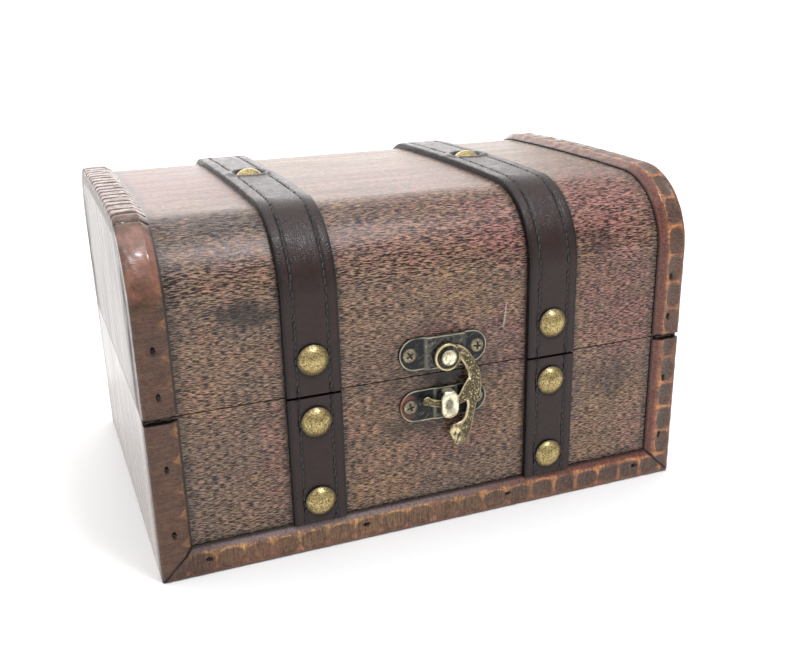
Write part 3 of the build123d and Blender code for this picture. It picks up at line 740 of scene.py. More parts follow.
def strap_leather():
    """Smooth dark leather with a fine grain and paler rubbed spots."""
    w, shader = new_material("strap_leather")
    strip = w.carried("strip", "Vector")
    grain = w.add("TexVoronoi", {"Vector": strip, "Scale": 1.7, "Randomness": 1.0}, feature="DISTANCE_TO_EDGE")
    pebble = w.step(grain.outputs["Distance"], 0.0, 0.25)
    soft = w.noise(strip, 0.35, 4.0, 0.6)
    tone = w.tint(colour("leather"), (0.04, 0.021, 0.018), w.step(soft, 0.45, 0.75), 0.5)
    # Near black where the mesh marks it dark: the strap's sides, stitch grooves and border, and painted shadow round
    # the nails
    tone = w.mix(w.carried("dark"), tone, (0.003, 0.003, 0.004))
    feed(w, shader, base_color=tone, roughness=w.step(soft, 0.3, 0.7, 0.26, 0.38), specular_ior_level=0.34)
    bump(w, shader, w.plus(pebble, soft), 0.32, 0.15)


def thread_material():
    """Dark waxed thread with a twist."""
    w, shader = new_material("stitch_thread")
    twist = w.add("TexWave", {"Vector": w.carried("strip", "Vector"), "Scale": 1.4, "Distortion": 0.4},
                  bands_direction="DIAGONAL").outputs[1]
    tone = w.mix(twist, (0.004, 0.003, 0.004), (0.055, 0.05, 0.052))
    feed(w, shader, base_color=tone, roughness=w.step(twist, 0.0, 1.0, 0.6, 0.35))
    bump(w, shader, twist, 0.5, 0.1)


def aged_brass(name, bright, dark, amount, size_mm, rough):
    """Antique brass: bright where it is rubbed or painted with a highlight, dark and mottled elsewhere, rusty where
    the mesh says so, near black where the mesh paints shade.
    """
    w, shader = new_material(name)
    age = w.fill(metal_age, Vector=w.place(), Size=size_mm * MM, Amount=amount)
    hidden = w.times(age["Tarnish"], w.minus(1.0, w.carried("bright"), clamp=True))
    rust, painted_shade = w.carried("rust"), w.carried("dark")
    tone = w.tint(w.mix(hidden, bright, dark), bright, age["Scratches"], 0.3)
    tone = w.mix(painted_shade, w.mix(rust, tone, (0.2, 0.045, 0.015)), (0.006, 0.005, 0.005))
    dull = w.plus(w.times(hidden, 0.4), w.plus(rust, painted_shade), clamp=True)
    feed(w, shader, base_color=tone, roughness=w.step(age["Height"], 0.3, 0.9, rough, rough + 0.2),
         metallic=w.minus(1.0, dull, clamp=True))
    bump(w, shader, age["Height"], 0.3, 0.12)


# Bright and dark colour, amount of tarnish, the size of its spots in millimetres, and roughness
METALS = {
    "hinge_brass": ((0.42, 0.34, 0.18), (0.2, 0.155, 0.075), 0.45, 0.9, 0.3),
    "latch_plate_brass": ((0.6, 0.55, 0.42), (0.015, 0.0165, 0.018), 1.2, 1.2, 0.3),
    "hook_brass": ((0.8, 0.67, 0.4), (0.06, 0.045, 0.02), 0.86, 0.6, 0.24),
    "bright_brass": ((0.92, 0.86, 0.66), (0.36, 0.28, 0.13), 0.4, 1.6, 0.2),
    "screw_steel": ((0.46, 0.39, 0.26), (0.05, 0.04, 0.026), 0.7, 0.8, 0.28),
    "brad_steel": ((0.06, 0.045, 0.04), (0.012, 0.009, 0.008), 0.6, 0.6, 0.5),
}


def build_materials():
    """Makes every material of the chest."""
    for build in (stained_ply, end_wood, inner_wood, moulding_wood, strap_leather, thread_material):
        build()
    aged_brass("antique_brass", colour("brass"), colour("tarnish"), 0.5, 0.55, 0.2)
    for name, values in METALS.items():
        aged_brass(name, *values)


def material(name):
    """One of the chest's materials."""
    found = bpy.data.materials.get(OWN + name)
    if found is None:
        raise RuntimeError(f"material {name} is missing: run the stage first")
    return found


# Panels
def lid_plywood():
    """The sheet of plywood bent over the lid."""
    lift = LID_RIM - PARTING
    places, out = lid_line(np.linspace(lift, lid_length() - lift, 240))
    outline = np.concatenate([places, (places - out * PLY)[::-1]])
    slices = np.concatenate([[-END_X, -END_X + 0.3], np.linspace(-END_X + 4, END_X - 4, 40), [END_X - 0.3, END_X]])
    rows = [[(x, y, z) for y, z in outline] for x in slices]
    count = len(outline)
    faces = ring_faces(len(rows), count)
    for start in (0, (len(rows) - 1) * count):
        faces += [[start + i, start + i + 1, start + count - 2 - i, start + count - 1 - i]
                  for i in range(count // 2 - 1)]
    return Shape().add(rows, faces).mesh("lid_plywood")


# Mouldings
def moulding_profile(swell=0.0):
    """Across the moulding from the panel's side: distance and height pairs."""
    width, proud, bevel = mm("moulding_width"), mm("moulding_proud"), mm("moulding_bevel")
    lip, edge = mm("moulding_lip"), mm("moulding_round")
    slope = [(bevel * t, lip + (proud - lip) * t) for t in np.linspace(0, 1, 9)]
    middle, half = (bevel + width - edge) / 2, (width - edge - bevel) / 2
    face = [(u, proud + swell * (1 - ((u - middle) / half) ** 2)) for u in np.linspace(bevel, width - edge, 19)[1:]]
    outer = [(width - edge + edge * math.sin(a), proud - edge + edge * math.cos(a))
             for a in np.linspace(0, math.pi / 2, 7)[1:]]
    return np.array([(0.0, 0.0)] + slope + face + outer + [(width, 0.0)])


class MouldingStyle:
    """How one moulding is carved and worn."""

    def __init__(self, depth, phase, seed, centre=5.9, half_width=3.0, gold=1.0, pink=1.0, shade=1.0, cove=1.0,
                 squeeze=0.0, ridge=0.0, wedge=0.5, joint=1.2):
        self.depth, self.phase, self.seed = depth, phase, seed
        self.centre, self.half_width, self.squeeze, self.ridge = centre, half_width, squeeze, ridge
        self.gold, self.pink, self.shade, self.cove = gold, pink, shade, cove
        self.wedge, self.joint = wedge, joint


def carve(along, across, height, style):
    """Cuts scoops into a moulding's face.

    Returns its height, how far each point is from its scoop's middle, and how near it is to the cusp between two.
    """
    pitch = mm("scoop_pitch")
    measured = along + style.squeeze * along * np.abs(along)
    number = np.round((measured - style.phase) / pitch)
    rng = np.random.default_rng(style.seed)
    jitter = rng.uniform(-1, 1, (80, 4))[np.clip(number.astype(int) + 20, 0, 79)]
    lengthwise = (measured - style.phase - number * pitch) / pitch
    cusp = np.abs(lengthwise) * 2
    lengthwise = (lengthwise - 0.03 * jitter[..., 0]) / (0.53 + 0.02 * jitter[..., 1])
    wide_half = style.half_width * (1 + 0.09 * jitter[..., 2])
    own_depth = style.depth * (1 + 0.3 * jitter[..., 3])
    sideways = (across - style.centre - 0.25 * jitter[..., 3]) / wide_half
    away = (np.abs(lengthwise) ** 2.3 + np.abs(sideways) ** 2.3) ** (1 / 2.3)
    floor = mm("moulding_proud") - own_depth * (1 - away**2)
    return np.minimum(height, np.where(height > 0.3, floor, height)), away, cusp


def moulding_rows(along, profile, spot, style, brads=(), kerf=None, shade=1.0, pale=0.0, mitre=9.0):
    """Rows of a moulding with its material's values; spot gives places for along, across and height.

    along is one array of rows by profile points; brads are places along the strip; mitre is how far each point is
    from the nearest mitred joint.
    """
    width = mm("moulding_width")
    across = np.broadcast_to(profile[:, 0], along.shape)
    height = np.broadcast_to(profile[:, 1], along.shape).copy()
    face = rise(height, 0.2, 1.4)
    cut, away, cusp = carve(along, across, height, style)
    points = np.stack([along, across, height * 2], -1)
    cut = cut + face * 0.06 * ripple(points, 2.6, style.seed + 1) * (height > 0.3)
    edge = style.centre - style.half_width
    outside = rise(away, 0.94, 1.05) * face
    uneven = 0.8 + 0.4 * ripple(points, 3.5, style.seed + 2)
    upper = np.clip(1 - (across - edge + 0.3) / 4.2, 0, 1)
    vee = rise(cusp, 1 - style.wedge * upper - 0.04, 1 - 0.24 * style.wedge * upper)
    vee = vee * rise(across, edge - 0.9, edge - 0.2) * (upper > 0)
    gold = vee * rise(away, 0.8, 1.0) * face
    gold = np.maximum(gold, 1.3 * hump(away, 1.0, 0.075) * rise(across, style.centre - 0.5, edge + 0.4) * face)
    lower = np.clip((across - style.centre + 0.5) / (style.half_width + 1.2), 0, 1)
    pink = outside * rise(cusp, 1 - 0.55 * lower, 1 - 0.1 * lower) * (lower > 0)
    pink = pink * rise(across, width - 0.8, width - 2.0)
    pink = np.maximum(pink, 0.3 * rise(across, style.centre + style.half_width, width - 1.2) * face)
    ridge = rise(cusp, 0.8, 0.97) * rise(across, edge - 0.7, edge) * face
    ridge = ridge * rise(across, style.centre + style.half_width + 1.7, style.centre + style.half_width + 0.5)
    pink = np.maximum(pink, 1.3 * ridge * style.ridge)
    pink = np.maximum(pink, 0.75 * hump(across, 2.8, 0.55) * style.ridge)
    cove = rise(across, edge + 0.1, edge - 0.5) * rise(away, 0.95, 1.05)
    # Painted shade: near black along the crease where the moulding meets the panel and at the ends by the parting gap;
    # dark mitres and outer edge
    joint = rise(across, style.joint, style.joint * 0.3)
    dark = np.maximum(0.92 * joint + 0.5 * rise(across, width - 0.35, width), 0.95 * rise(mitre, 0.8, 0.35))
    for brad in brads:
        gap = np.sqrt(((along - brad) / 1.35) ** 2 + ((across - width / 2) / 0.68) ** 2)
        cut = cut - 0.75 * np.exp(-gap**4) * (height > 1.0)
        dark = np.maximum(dark, np.exp(-(gap / 1.1) ** 6))
    if kerf is not None:
        groove = kerf(along, across) * (height > 1.0)
        cut = cut - mm("kerf_depth") * groove
        dark = np.maximum(dark, 0.95 * groove)
    cut = np.where(height > 0, np.maximum(cut, 0.05), 0.0)
    values = dict(strip=np.stack([along, across, cut], -1), gold=np.clip(gold * uneven * style.gold, 0, 1),
                  pink=np.clip(pink * uneven * style.pink, 0, 1), cove=cove * style.cove,
                  scoop=rise(away, 1.06, 0.75) * face * style.shade * shade, dark=np.clip(dark, 0, 1),
                  pale=pale * face)
    return spot(along, across, cut), values


def spread(start, end, step):
    """Evenly spaced values about this far apart."""
    return np.linspace(start, end, max(2, int(round(abs(end - start) / step)) + 1))


def base_side_moulding(side, wall):
    """An upright moulding on the base with a mitred foot."""
    profile, width = moulding_profile(), mm("moulding_width")
    top = PARTING - TRIM_GAP
    foot = width - profile[:, 0] + MITRE_GAP
    along = foot + np.linspace(0, 1, 130)[:, None] * (top - foot)

    def spot(along, across, height):
        return np.stack([side * (END_X - width + across), wall * (WALL_Y + height), along], -1)

    seed = 11 + side + 3 * wall
    if side > 0:
        style = MouldingStyle(mm("scoop_depth"), 3.5, seed, centre=6.5, half_width=2.8, ridge=1.0, joint=0.8)
    else:
        style = MouldingStyle(0.2, 8.0, seed, centre=6.0, half_width=6.4, gold=0.9, pink=0.6, shade=0.4, cove=0.25)
    brads = [share * top for share in SIDE_BRAD_SHARES]
    rows, values = moulding_rows(along, profile, spot, style, brads, mitre=np.minimum(along - foot, top - along + 0.2))
    return Shape().loft(rows, **values)


def sill_moulding(wall):
    """The bottom moulding, mitred at both ends."""
    profile, width = moulding_profile(), mm("moulding_width")
    reach = END_X - (width - profile[:, 0]) - MITRE_GAP
    along = -reach + np.linspace(0, 1, 430)[:, None] * 2 * reach

    def spot(along, across, height):
        return np.stack([along, wall * (WALL_Y + height), width - across], -1)

    east = rise(along, -70, 70)
    style = MouldingStyle(mm("scoop_depth") * (0.6 + 0.5 * east), 2.4, 31 + wall, half_width=3.2, squeeze=0.0004,
                          ridge=rise(along, 10, 60))
    brads = [share * 2 * END_X for share in SILL_BRAD_SHARES]
    rows, values = moulding_rows(along, profile, spot, style, brads, shade=0.55 + 0.45 * east,
                                 mitre=reach - np.abs(along))
    return Shape().loft(rows, **values)


def over_lid(x, along, height):
    """Places so far along the lid's line and so high over its plywood."""
    places, out = lid_line(along)
    placed_yz = places + out * height[..., None]
    return np.stack([x, placed_yz[..., 0], placed_yz[..., 1]], -1)


def lid_moulding(side):
    """The moulding bent over one end of the lid."""
    node = "lid_left_trim" if side < 0 else "lid_right_trim"
    profile = moulding_profile(high_mm(node, 2) - LID_TOP - mm("moulding_proud"))
    total, (_, _, _, upright, bend, _) = lid_length(), lid_frame()
    along = spread(TRIM_GAP, total - LID_TRIM_BACK_GAP, 0.42)[:, None] + np.zeros(len(profile))

    def spot(along, across, height):
        return over_lid(side * (END_X - mm("moulding_width") + across), along, height)

    def kerf(along, across):
        pitch = mm("kerf_pitch")
        start, end = upright + bend * 0.8, total - upright - bend * 0.8
        bowed = along + 1.3 * ((across - 5.5) / 5.5) ** 2 + 0.5 * ripple(np.stack([along, across], -1), 9.0, 57)
        nearest = np.abs((bowed - start) / pitch - np.round((bowed - start) / pitch)) * pitch
        return np.exp(-(nearest / 0.5) ** 2) * rise(along, start - 4, start) * rise(along, end + 4, end)

    if side > 0:
        style = MouldingStyle(0.75 * mm("scoop_depth"), 6.0, 52, centre=6.6, half_width=2.9, shade=0.75, ridge=0.3,
                              wedge=0.9, joint=0.7)
    else:
        style = MouldingStyle(0.15, 6.0, 50, centre=6.0, half_width=6.6, gold=0.6, pink=0.5, shade=0.3, cove=0.3)
    crown_start, crown_end = upright + bend * 0.78, upright + bend
    crown = rise(along, crown_start, crown_end) * rise(total - along, crown_start, crown_end)
    brads = []
    for share in LID_BRAD_SHARES:
        place = TRIM_GAP + share * (upright - TRIM_GAP)
        brads += [place, total - place]
    # The crowns are painted pale for the glare of the light, the left one fully
    rows, values = moulding_rows(along, profile, spot, style, brads, kerf=kerf if side < 0 else None,
                                 pale=crown if side < 0 else 0.25 * crown,
                                 mitre=np.minimum(along - TRIM_GAP, total - LID_TRIM_BACK_GAP - along) + 0.2)
    return Shape().loft(rows, **values)


# Straps
def strap_profile():
    """Across a strap: distance from its middle and height."""
    half, thick, edge = mm("strap_width") / 2, mm("strap_thickness"), 0.55
    left = [(-half + edge - edge * math.cos(a), thick - edge + edge * math.sin(a))
            for a in np.linspace(0, math.pi / 2, 6)]
    face = [(u, thick) for u in np.linspace(-half + edge, half - edge, 53)[1:-1]]
    right = [(-u, h) for u, h in left[::-1]]
    return np.array([(-half, 0.0)] + left + face + right + [(half, 0.0)])


def strap_surface(along, across, height, nails, sunk=None):
    """Height of the leather with stitch grooves, sunk round its nails and a little uneven; and its dark parts.

    Round a nail that is driven in deep, at the place called sunk, the leather puffs up.
    """
    beside, top = np.abs(across), rise(height, 1.2, 2.2)
    groove = hump(beside, mm("stitch_inset"), 0.55)
    cut = height - top * (0.35 * groove + 0.12 * rise(beside, 7.2, 9.2))
    dark = np.maximum(0.85 * groove * top, 0.95 * (1 - rise(height, 1.7, 2.38)))
    dark = np.maximum(dark, 0.75 * rise(beside, 8.1, 8.9))
    for nail in nails:
        away = np.hypot(along - nail, across)
        cut = cut - top * 0.35 * hump(away, 5.0, 1.1)
        # Painted shadow: a dark ring on the leather round each nail
        dark = np.maximum(dark, 0.8 * hump(away, 5.5, 0.5) * top)
    cut = cut - top * (0.05 + 0.05 * ripple(np.stack([along, across], -1), 6.0, 71))
    if sunk is not None:
        away = np.hypot(along - sunk, across)
        cut = cut - top * (0.9 * rise(away, 6.2, 4.9) - 0.55 * hump(away, 7.2, 1.3))
    return cut, dark


def strap_piece(along_ends, spot, nails, sunk=None, step=0.55):
    """A strap's leather and its two lines of stitches, as two shapes."""
    profile = strap_profile()
    along = spread(*along_ends, step)[:, None] + np.zeros(len(profile))
    across = np.broadcast_to(profile[:, 0], along.shape)
    height = np.broadcast_to(profile[:, 1], along.shape)
    cut, dark = strap_surface(along, across, height, nails, sunk)
    leather = Shape().loft(spot(along, across, cut), strip=np.stack([along, across, cut], -1), dark=dark)
    stitches = Shape()
    pitch, radius, inset, thick = mm("stitch_pitch"), mm("thread"), mm("stitch_inset"), mm("strap_thickness")
    start, end = along_ends
    angle = full_turn(8)
    lengthwise = (np.array([-0.5, -0.46, -0.3, 0, 0.3, 0.46, 0.5]) * pitch * 0.86)[:, None]
    girth = (np.array([0.35, 0.75, 1.0, 1.05, 1.0, 0.75, 0.35]) * radius)[:, None]
    drop = (np.array([-0.55, -0.3, 0, 0.06, 0, -0.3, -0.55]) * radius)[:, None]
    rng = np.random.default_rng(int(end * 10))
    for line in (-1, 1):
        for number in range(int((end - start - 2) / pitch)):
            shift, lean, lift = rng.uniform(-1, 1, 3)
            own = start + 1 + pitch * (number + 0.5) + 0.12 * shift + lengthwise + 0 * angle
            side = line * inset + (0.1 + 0.2 * lean) * lengthwise + 0.22 * lift + girth * np.cos(angle)
            tall = thick - 0.36 + 0.08 * lift + drop + girth * np.sin(angle)
            stitches.loft(spot(own, side, tall), strip=np.stack([own, side, tall], -1))
    t = np.linspace(0, 1, 9)
    round_thread = np.stack([0.6 * np.sin(angle), np.cos(angle), np.sin(angle)], -1)
    for line in (-1, 1):
        for tail_end, inward in ((start + 1.2, 1), (end - 1.2, -1)):
            swing, lean = rng.uniform(-1, 1, 2)
            tail = np.stack([tail_end - inward * t + 0.5 * np.sin(5 * t + swing), line * inset + 1.6 * lean * t**1.5,
                             thick - 0.1 + 0.55 * np.sin(math.pi * t * 0.9)], -1)
            rows = tail[:, None] + (radius * 0.62 * (1 - 0.35 * t))[:, None, None] * round_thread
            stitches.loft(spot(*np.moveaxis(rows, -1, 0)), strip=rows)
    return leather, stitches


# Nails, screws and latch
def nail_shape(shape, place, seed):
    """A domed nail with a rolled rim, its dome dented."""
    radius, top = mm("nail_radius"), mm("nail_rise")
    ball = (radius**2 + top**2) / (2 * top)
    dome = [(ball * math.sin(a), top - ball + ball * math.cos(a))
            for a in np.linspace(0.0, math.asin(min(1, (radius - 0.12) / ball)), 18)[1:]]
    profile = [(0.02, top)] + dome + [(radius, 0.12), (radius - 0.1, 0.0), (0.5, 0.0)]
    shape.turned(profile[::-1], place, 56, dents=0.06, seed=seed)


def wall_place(x, height, z, wall=-1):
    """A frame on the front or back wall whose Z points outward, at a height over the wall."""
    return Matrix.Translation((x, wall * (WALL_Y + height), z)) @ Matrix.Rotation(-wall * math.pi / 2, 4, "X")


def plate_shape(centre_z, boss_half, boss_rise, seed, rusty):
    """A latch plate with round ends, a bright rim and a raised hammered middle."""
    straight = PLATE_HALF_LENGTH - PLATE_RADIUS
    # The outline's points as the middle that each is offset from, along X, and the way outward
    outline = []
    for end in (1, -1):
        outline += [(end * straight, end * math.cos(a), end * math.sin(a))
                    for a in np.linspace(-math.pi / 2, math.pi / 2, 25)]
        outline += [(-end * x, 0.0, end) for x in np.linspace(-straight, straight, 61)[1:-1]]
    middle, out_x, out_z = np.array(outline).T
    insets = [(0.0, 0.0), (0.0, 0.7), (0.1, 0.92), (0.28, 1.0), (0.5, 0.97), (0.72, 0.86), (1.0, 0.8),
              (1.5, 0.8), (2.2, 0.8), (2.9, 0.81), (3.6, 0.82), (4.3, 0.82), (5.1, 0.82), (5.9, 0.82)]
    rows, bright, rust = [], [], []
    for inset, height in insets:
        x, z = middle + out_x * (PLATE_RADIUS - inset), out_z * (PLATE_RADIUS - inset)
        place, from_boss = np.stack([x, z], -1), np.abs(x + LATCH_X - HOOK_X)
        over = rise(from_boss, boss_half + 1.1, boss_half - 0.2)
        tall = height + boss_rise * over * rise(height, 0.0, 0.7)
        tall = tall + (0.05 * ripple(place, 1.6, seed) * over + 0.02 * ripple(place, 2.5, seed + 1)) * (height > 0.8)
        rows.append(np.stack([x + LATCH_X, -(WALL_Y + tall), z + centre_z], -1))
        boss_edge = 0.28 * hump(from_boss, boss_half + 0.4, 0.45) * (height > 0.75)
        boss_edge = np.maximum(boss_edge, 0.07 * over * (1 + ripple(place, 1.2, seed + 4)))
        rim = hump(inset, 0.28, 0.2) * (height > 0.8) * (0.8 + 0.3 * ripple(place, 4, seed + 2))
        bright.append(np.maximum(rim, boss_edge))
        ring = hump(np.hypot(x + PLATE_SCREW, z), 3.6, 0.8) * rise(x, -9.5, -14.0)
        rust.append(0.9 * rusty * ring * (0.8 + 0.4 * ripple(place, 1.5, seed + 3)) * (height > 0))
    return Shape().loft(rows, bright=np.clip(bright, 0, 1), rust=np.clip(rust, 0, 1))


def screw_shape(shape, place, turn, head=2.6, top=0.8):
    """A domed screw head with a tapered cross slot."""
    ball = (head**2 + top**2) / (2 * top)
    slot_end = head * 0.62
    angle = full_turn(88)
    rows, dark = [], []
    for r in np.concatenate([np.linspace(0.02, slot_end, 26), np.linspace(slot_end, head, 9)[1:]]):
        x, y = r * np.cos(angle), r * np.sin(angle)
        a, b = np.abs(x * math.cos(turn) + y * math.sin(turn)), np.abs(y * math.cos(turn) - x * math.sin(turn))
        arm, reach = np.minimum(a, b), np.maximum(a, b)
        slot = rise(arm, 0.5 - 0.1 * reach, 0.26 - 0.08 * reach) * rise(reach, slot_end, head * 0.48)
        rows.append(np.stack([x, y, top - ball + math.sqrt(max(ball**2 - r**2, 0)) - 0.55 * slot], -1))
        # Painted shade: dark in the cross slot and round the head's edge
        dark.append(np.maximum(slot, 0.8 * rise(r, head - 0.35, head - 0.1)))
    rows.append(np.stack([head * np.cos(angle), head * np.sin(angle), 0 * angle], -1))
    dark.append(0 * angle)
    shape.loft(placed(np.array(rows), place), dark=np.array(dark), bright=np.full((len(rows), len(angle)), 0.35))


def fused(shape, name, smooth=3, voxel_mm=0.13):
    """One cast skin over several closed forms, as a mesh in metres."""
    mesh = bpy.data.meshes.new(name + "_rough")
    mesh.from_pydata(np.concatenate(shape.points).tolist(), [], shape.faces)
    rough = bpy.data.objects.new(name + "_rough", outward(mesh))
    bpy.context.scene.collection.objects.link(rough)
    skin = rough.modifiers.new("skin", "REMESH")
    skin.mode, skin.voxel_size = "VOXEL", voxel_mm
    soften = rough.modifiers.new("soften", "SMOOTH")
    soften.factor, soften.iterations = 0.5, smooth
    made = bpy.data.meshes.new_from_object(rough.evaluated_get(bpy.context.evaluated_depsgraph_get()))
    made.name = name
    made.transform(Matrix.Scale(MM, 4))
    bpy.data.objects.remove(rough)
    return made


def squared(value, power):
    """A sine or cosine drawn out towards a square's."""
    return np.sign(value) * np.abs(value) ** power


def smooth_line(points, count):
    """A smooth line through points (Catmull-Rom), with this many places."""
    points = np.asarray(points, float)
    ends = np.concatenate([[2 * points[0] - points[1]], points, [2 * points[-1] - points[-2]]])
    t = np.linspace(0, len(points) - 1 - 1e-9, count)
    i = t.astype(int)
    f = (t - i)[:, None]
    a, b, c, d = ends[i], ends[i + 1], ends[i + 2], ends[i + 3]
    return 0.5 * (2 * b + (c - a) * f + (2 * a - 5 * b + 4 * c - d) * f**2 + (3 * b - a - 3 * c + d) * f**3)


def bar_shape(shape, line, back, front, dome=0.0, flat=2.2):
    """A bar cast along a line in the hook's plane, given as X, Z and half width from the pivot."""
    line, width = line[:, :2], line[:, 2]
    tangent = np.gradient(line, axis=0)
    tangent /= np.linalg.norm(tangent, axis=1)[:, None]
    angle = full_turn(20)
    across, tall = squared(np.cos(angle), 2 / flat), squared(np.sin(angle), 2 / flat)
    beside = across * width[:, None]
    height = (back + front) / 2 + (front - back) / 2 * tall - dome * (across**2) * (tall > 0)
    x = HOOK_X + line[:, :1] + tangent[:, 1:] * beside
    z = HOOK_Z + line[:, 1:] - tangent[:, :1] * beside
    shape.loft(np.stack([x, -(WALL_Y + height) + 0 * x, z], -1))


# The swing hook's middle line from ring to tab and its half width there, in shares of its reach
HOOK_LINE = ((0.08, 0.19, 0.08), (0.28, 0.08, 0.115), (0.46, -0.15, 0.125), (0.575, -0.4, 0.138),
             (0.605, -0.6, 0.15), (0.575, -0.84, 0.175), (0.55, -1.0, 0.145), (0.535, -1.13, 0.11),
             (0.51, -1.26, 0.106), (0.47, -1.42, 0.11), (0.415, -1.54, 0.15), (0.335, -1.64, 0.215),
             (0.25, -1.715, 0.255), (0.16, -1.77, 0.24), (0.085, -1.8, 0.15))


# The web between the bow and the spur, given alike
HOOK_WEB = ((0.52, -0.56, 0.09), (0.47, -0.72, 0.13), (0.39, -0.86, 0.13), (0.27, -0.95, 0.09), (0.16, -0.985, 0.06))


def hook_shape():
    """The swing hook: ring, bow, spur and finger tab."""
    shape = Shape()
    thick = HOOK_FRONT - HOOK_BACK
    ring = [(1.6, 0.0), (5.0, 0.0), (5.1, 0.5), (5.02, 1.35), (4.75, thick), (4.3, thick - 0.02), (3.95, 1.2),
            (3.5, 1.05), (1.6, 1.05)]
    around, corners = 72, len(ring)
    rows = np.array([[(r * math.cos(a), r * math.sin(a), h) for r, h in ring] for a in full_turn(around)])
    shape.add(placed(rows, wall_place(HOOK_X, HOOK_BACK, HOOK_Z)),
              [[a * corners + i, a * corners + (i + 1) % corners, (a + 1) % around * corners + (i + 1) % corners,
                (a + 1) % around * corners + i] for a in range(around) for i in range(corners)])
    bar_shape(shape, smooth_line(np.array(HOOK_LINE) * HOOK_REACH, 110), HOOK_BACK, HOOK_FRONT, dome=0.4, flat=2.6)
    degrees = np.linspace(-33, 24, 46)
    width = 1.35 + 0.35 * hump(degrees, -28, 4) + 0.35 * rise(degrees, -12, 0)
    width = width * np.sqrt(np.clip((degrees + 33) / 3.5 + 0.1, 0, 1))
    arc = np.radians(degrees)
    spur = np.stack([HOOK_REACH * np.sin(arc), -HOOK_REACH * np.cos(arc), width], -1)
    bar_shape(shape, spur, HOOK_BACK + 0.05, HOOK_FRONT - 0.1)
    bar_shape(shape, smooth_line(np.array(HOOK_WEB) * HOOK_REACH, 30), HOOK_BACK + 0.05, HOOK_FRONT - 0.15)
    return shape


def rubbed_edges_and_painted_shade(mesh, seed, hollow):
    """Marks a cast piece's front edges as rubbed bright and its finger tab as rubbed with a painted highlight; paints
    shade on its sides turned away from the front and in a hollow, given as centre and radii.
    """
    facing, places = (np.empty(len(mesh.vertices) * 3) for _ in range(2))
    mesh.vertices.foreach_get("normal", facing)
    mesh.vertices.foreach_get("co", places)
    facing, places = -facing.reshape(-1, 3)[:, 1], places.reshape(-1, 3) / MM
    bright = rise(facing, 0.95, 0.78) * rise(facing, 0.05, 0.4) * (0.65 + 0.5 * ripple(places, 2.2, seed))
    # The finger tab: partly rubbed, partly a painted highlight
    tab = rise(places[:, 2], *TAB_Z) * rise(places[:, 0], *TAB_X)
    bright = np.maximum(bright, 0.85 * tab * (0.7 + 0.7 * ripple(places, 1.1, seed + 1)))
    x, z, half_x, half_z, inner = hollow
    inside = np.hypot((places[:, 0] - x) / half_x, (places[:, 2] - z) / half_z)
    rim = hump(inside, 1.06, 0.06) * (facing > 0.3) * rise(places[:, 0] - x, 3.4, 1.2)
    carry(mesh, "bright", np.clip(np.maximum(bright, 0.9 * rim) * rise(inside, inner, 1.0), 0, 1))
    # Painted shade: dark on the sides turned away from the front and in the hollow
    carry(mesh, "dark", np.clip(np.maximum(0.7 * rise(facing, 0.25, -0.1), 0.75 * rise(inside, 1.0, inner)), 0, 1))
    return mesh


def loop_shape():
    """The catch loop: a staple with a dimple in its front, the hook's spur passing through."""
    shape = Shape()
    foot, inside, top = 1.6, 4.4, 5.9
    middle_z = HOOK_Z - HOOK_REACH
    arc = np.linspace(0, math.pi, 21)
    outline = np.stack([LOOP_HALF_X * np.cos(arc), LOOP_HALF_Z - LOOP_HALF_X + LOOP_HALF_X * np.sin(arc)])
    x, z = np.concatenate([outline, -outline], 1)
    shape.loft([np.stack([HOOK_X + x * share, 0 * x - (WALL_Y + height), middle_z + z * share], -1)
                for height, share in ((inside, 0.96), (inside + 0.1, 1.0), (5.1, 1.0), (5.5, 0.96), (5.78, 0.88),
                                      (top, 0.76), (top - 0.04, 0.66), (top - 0.25, 0.54), (top - 0.6, 0.4),
                                      (top - 0.75, 0.2), (top - 0.78, 0.05))])
    angle = full_turn(32)
    for end in (-1, 1):
        z = middle_z + end * (LOOP_HALF_Z - LOOP_LEG / 2) + LOOP_LEG / 2 * squared(np.sin(angle), 0.5)
        shape.loft([np.stack([HOOK_X + share * LOOP_HALF_X * 0.62 * squared(np.cos(angle), 0.5),
                              0 * z - (WALL_Y + height), z], -1)
                    for height, share in ((foot, 0.9), (foot + 0.5, 0.92), (inside + 0.4, 1.0), (inside + 0.6, 1.0))])
    return shape


class ChestOperator:
    """What every operator of the chest shares."""
    bl_options = {"REGISTER", "UNDO"}


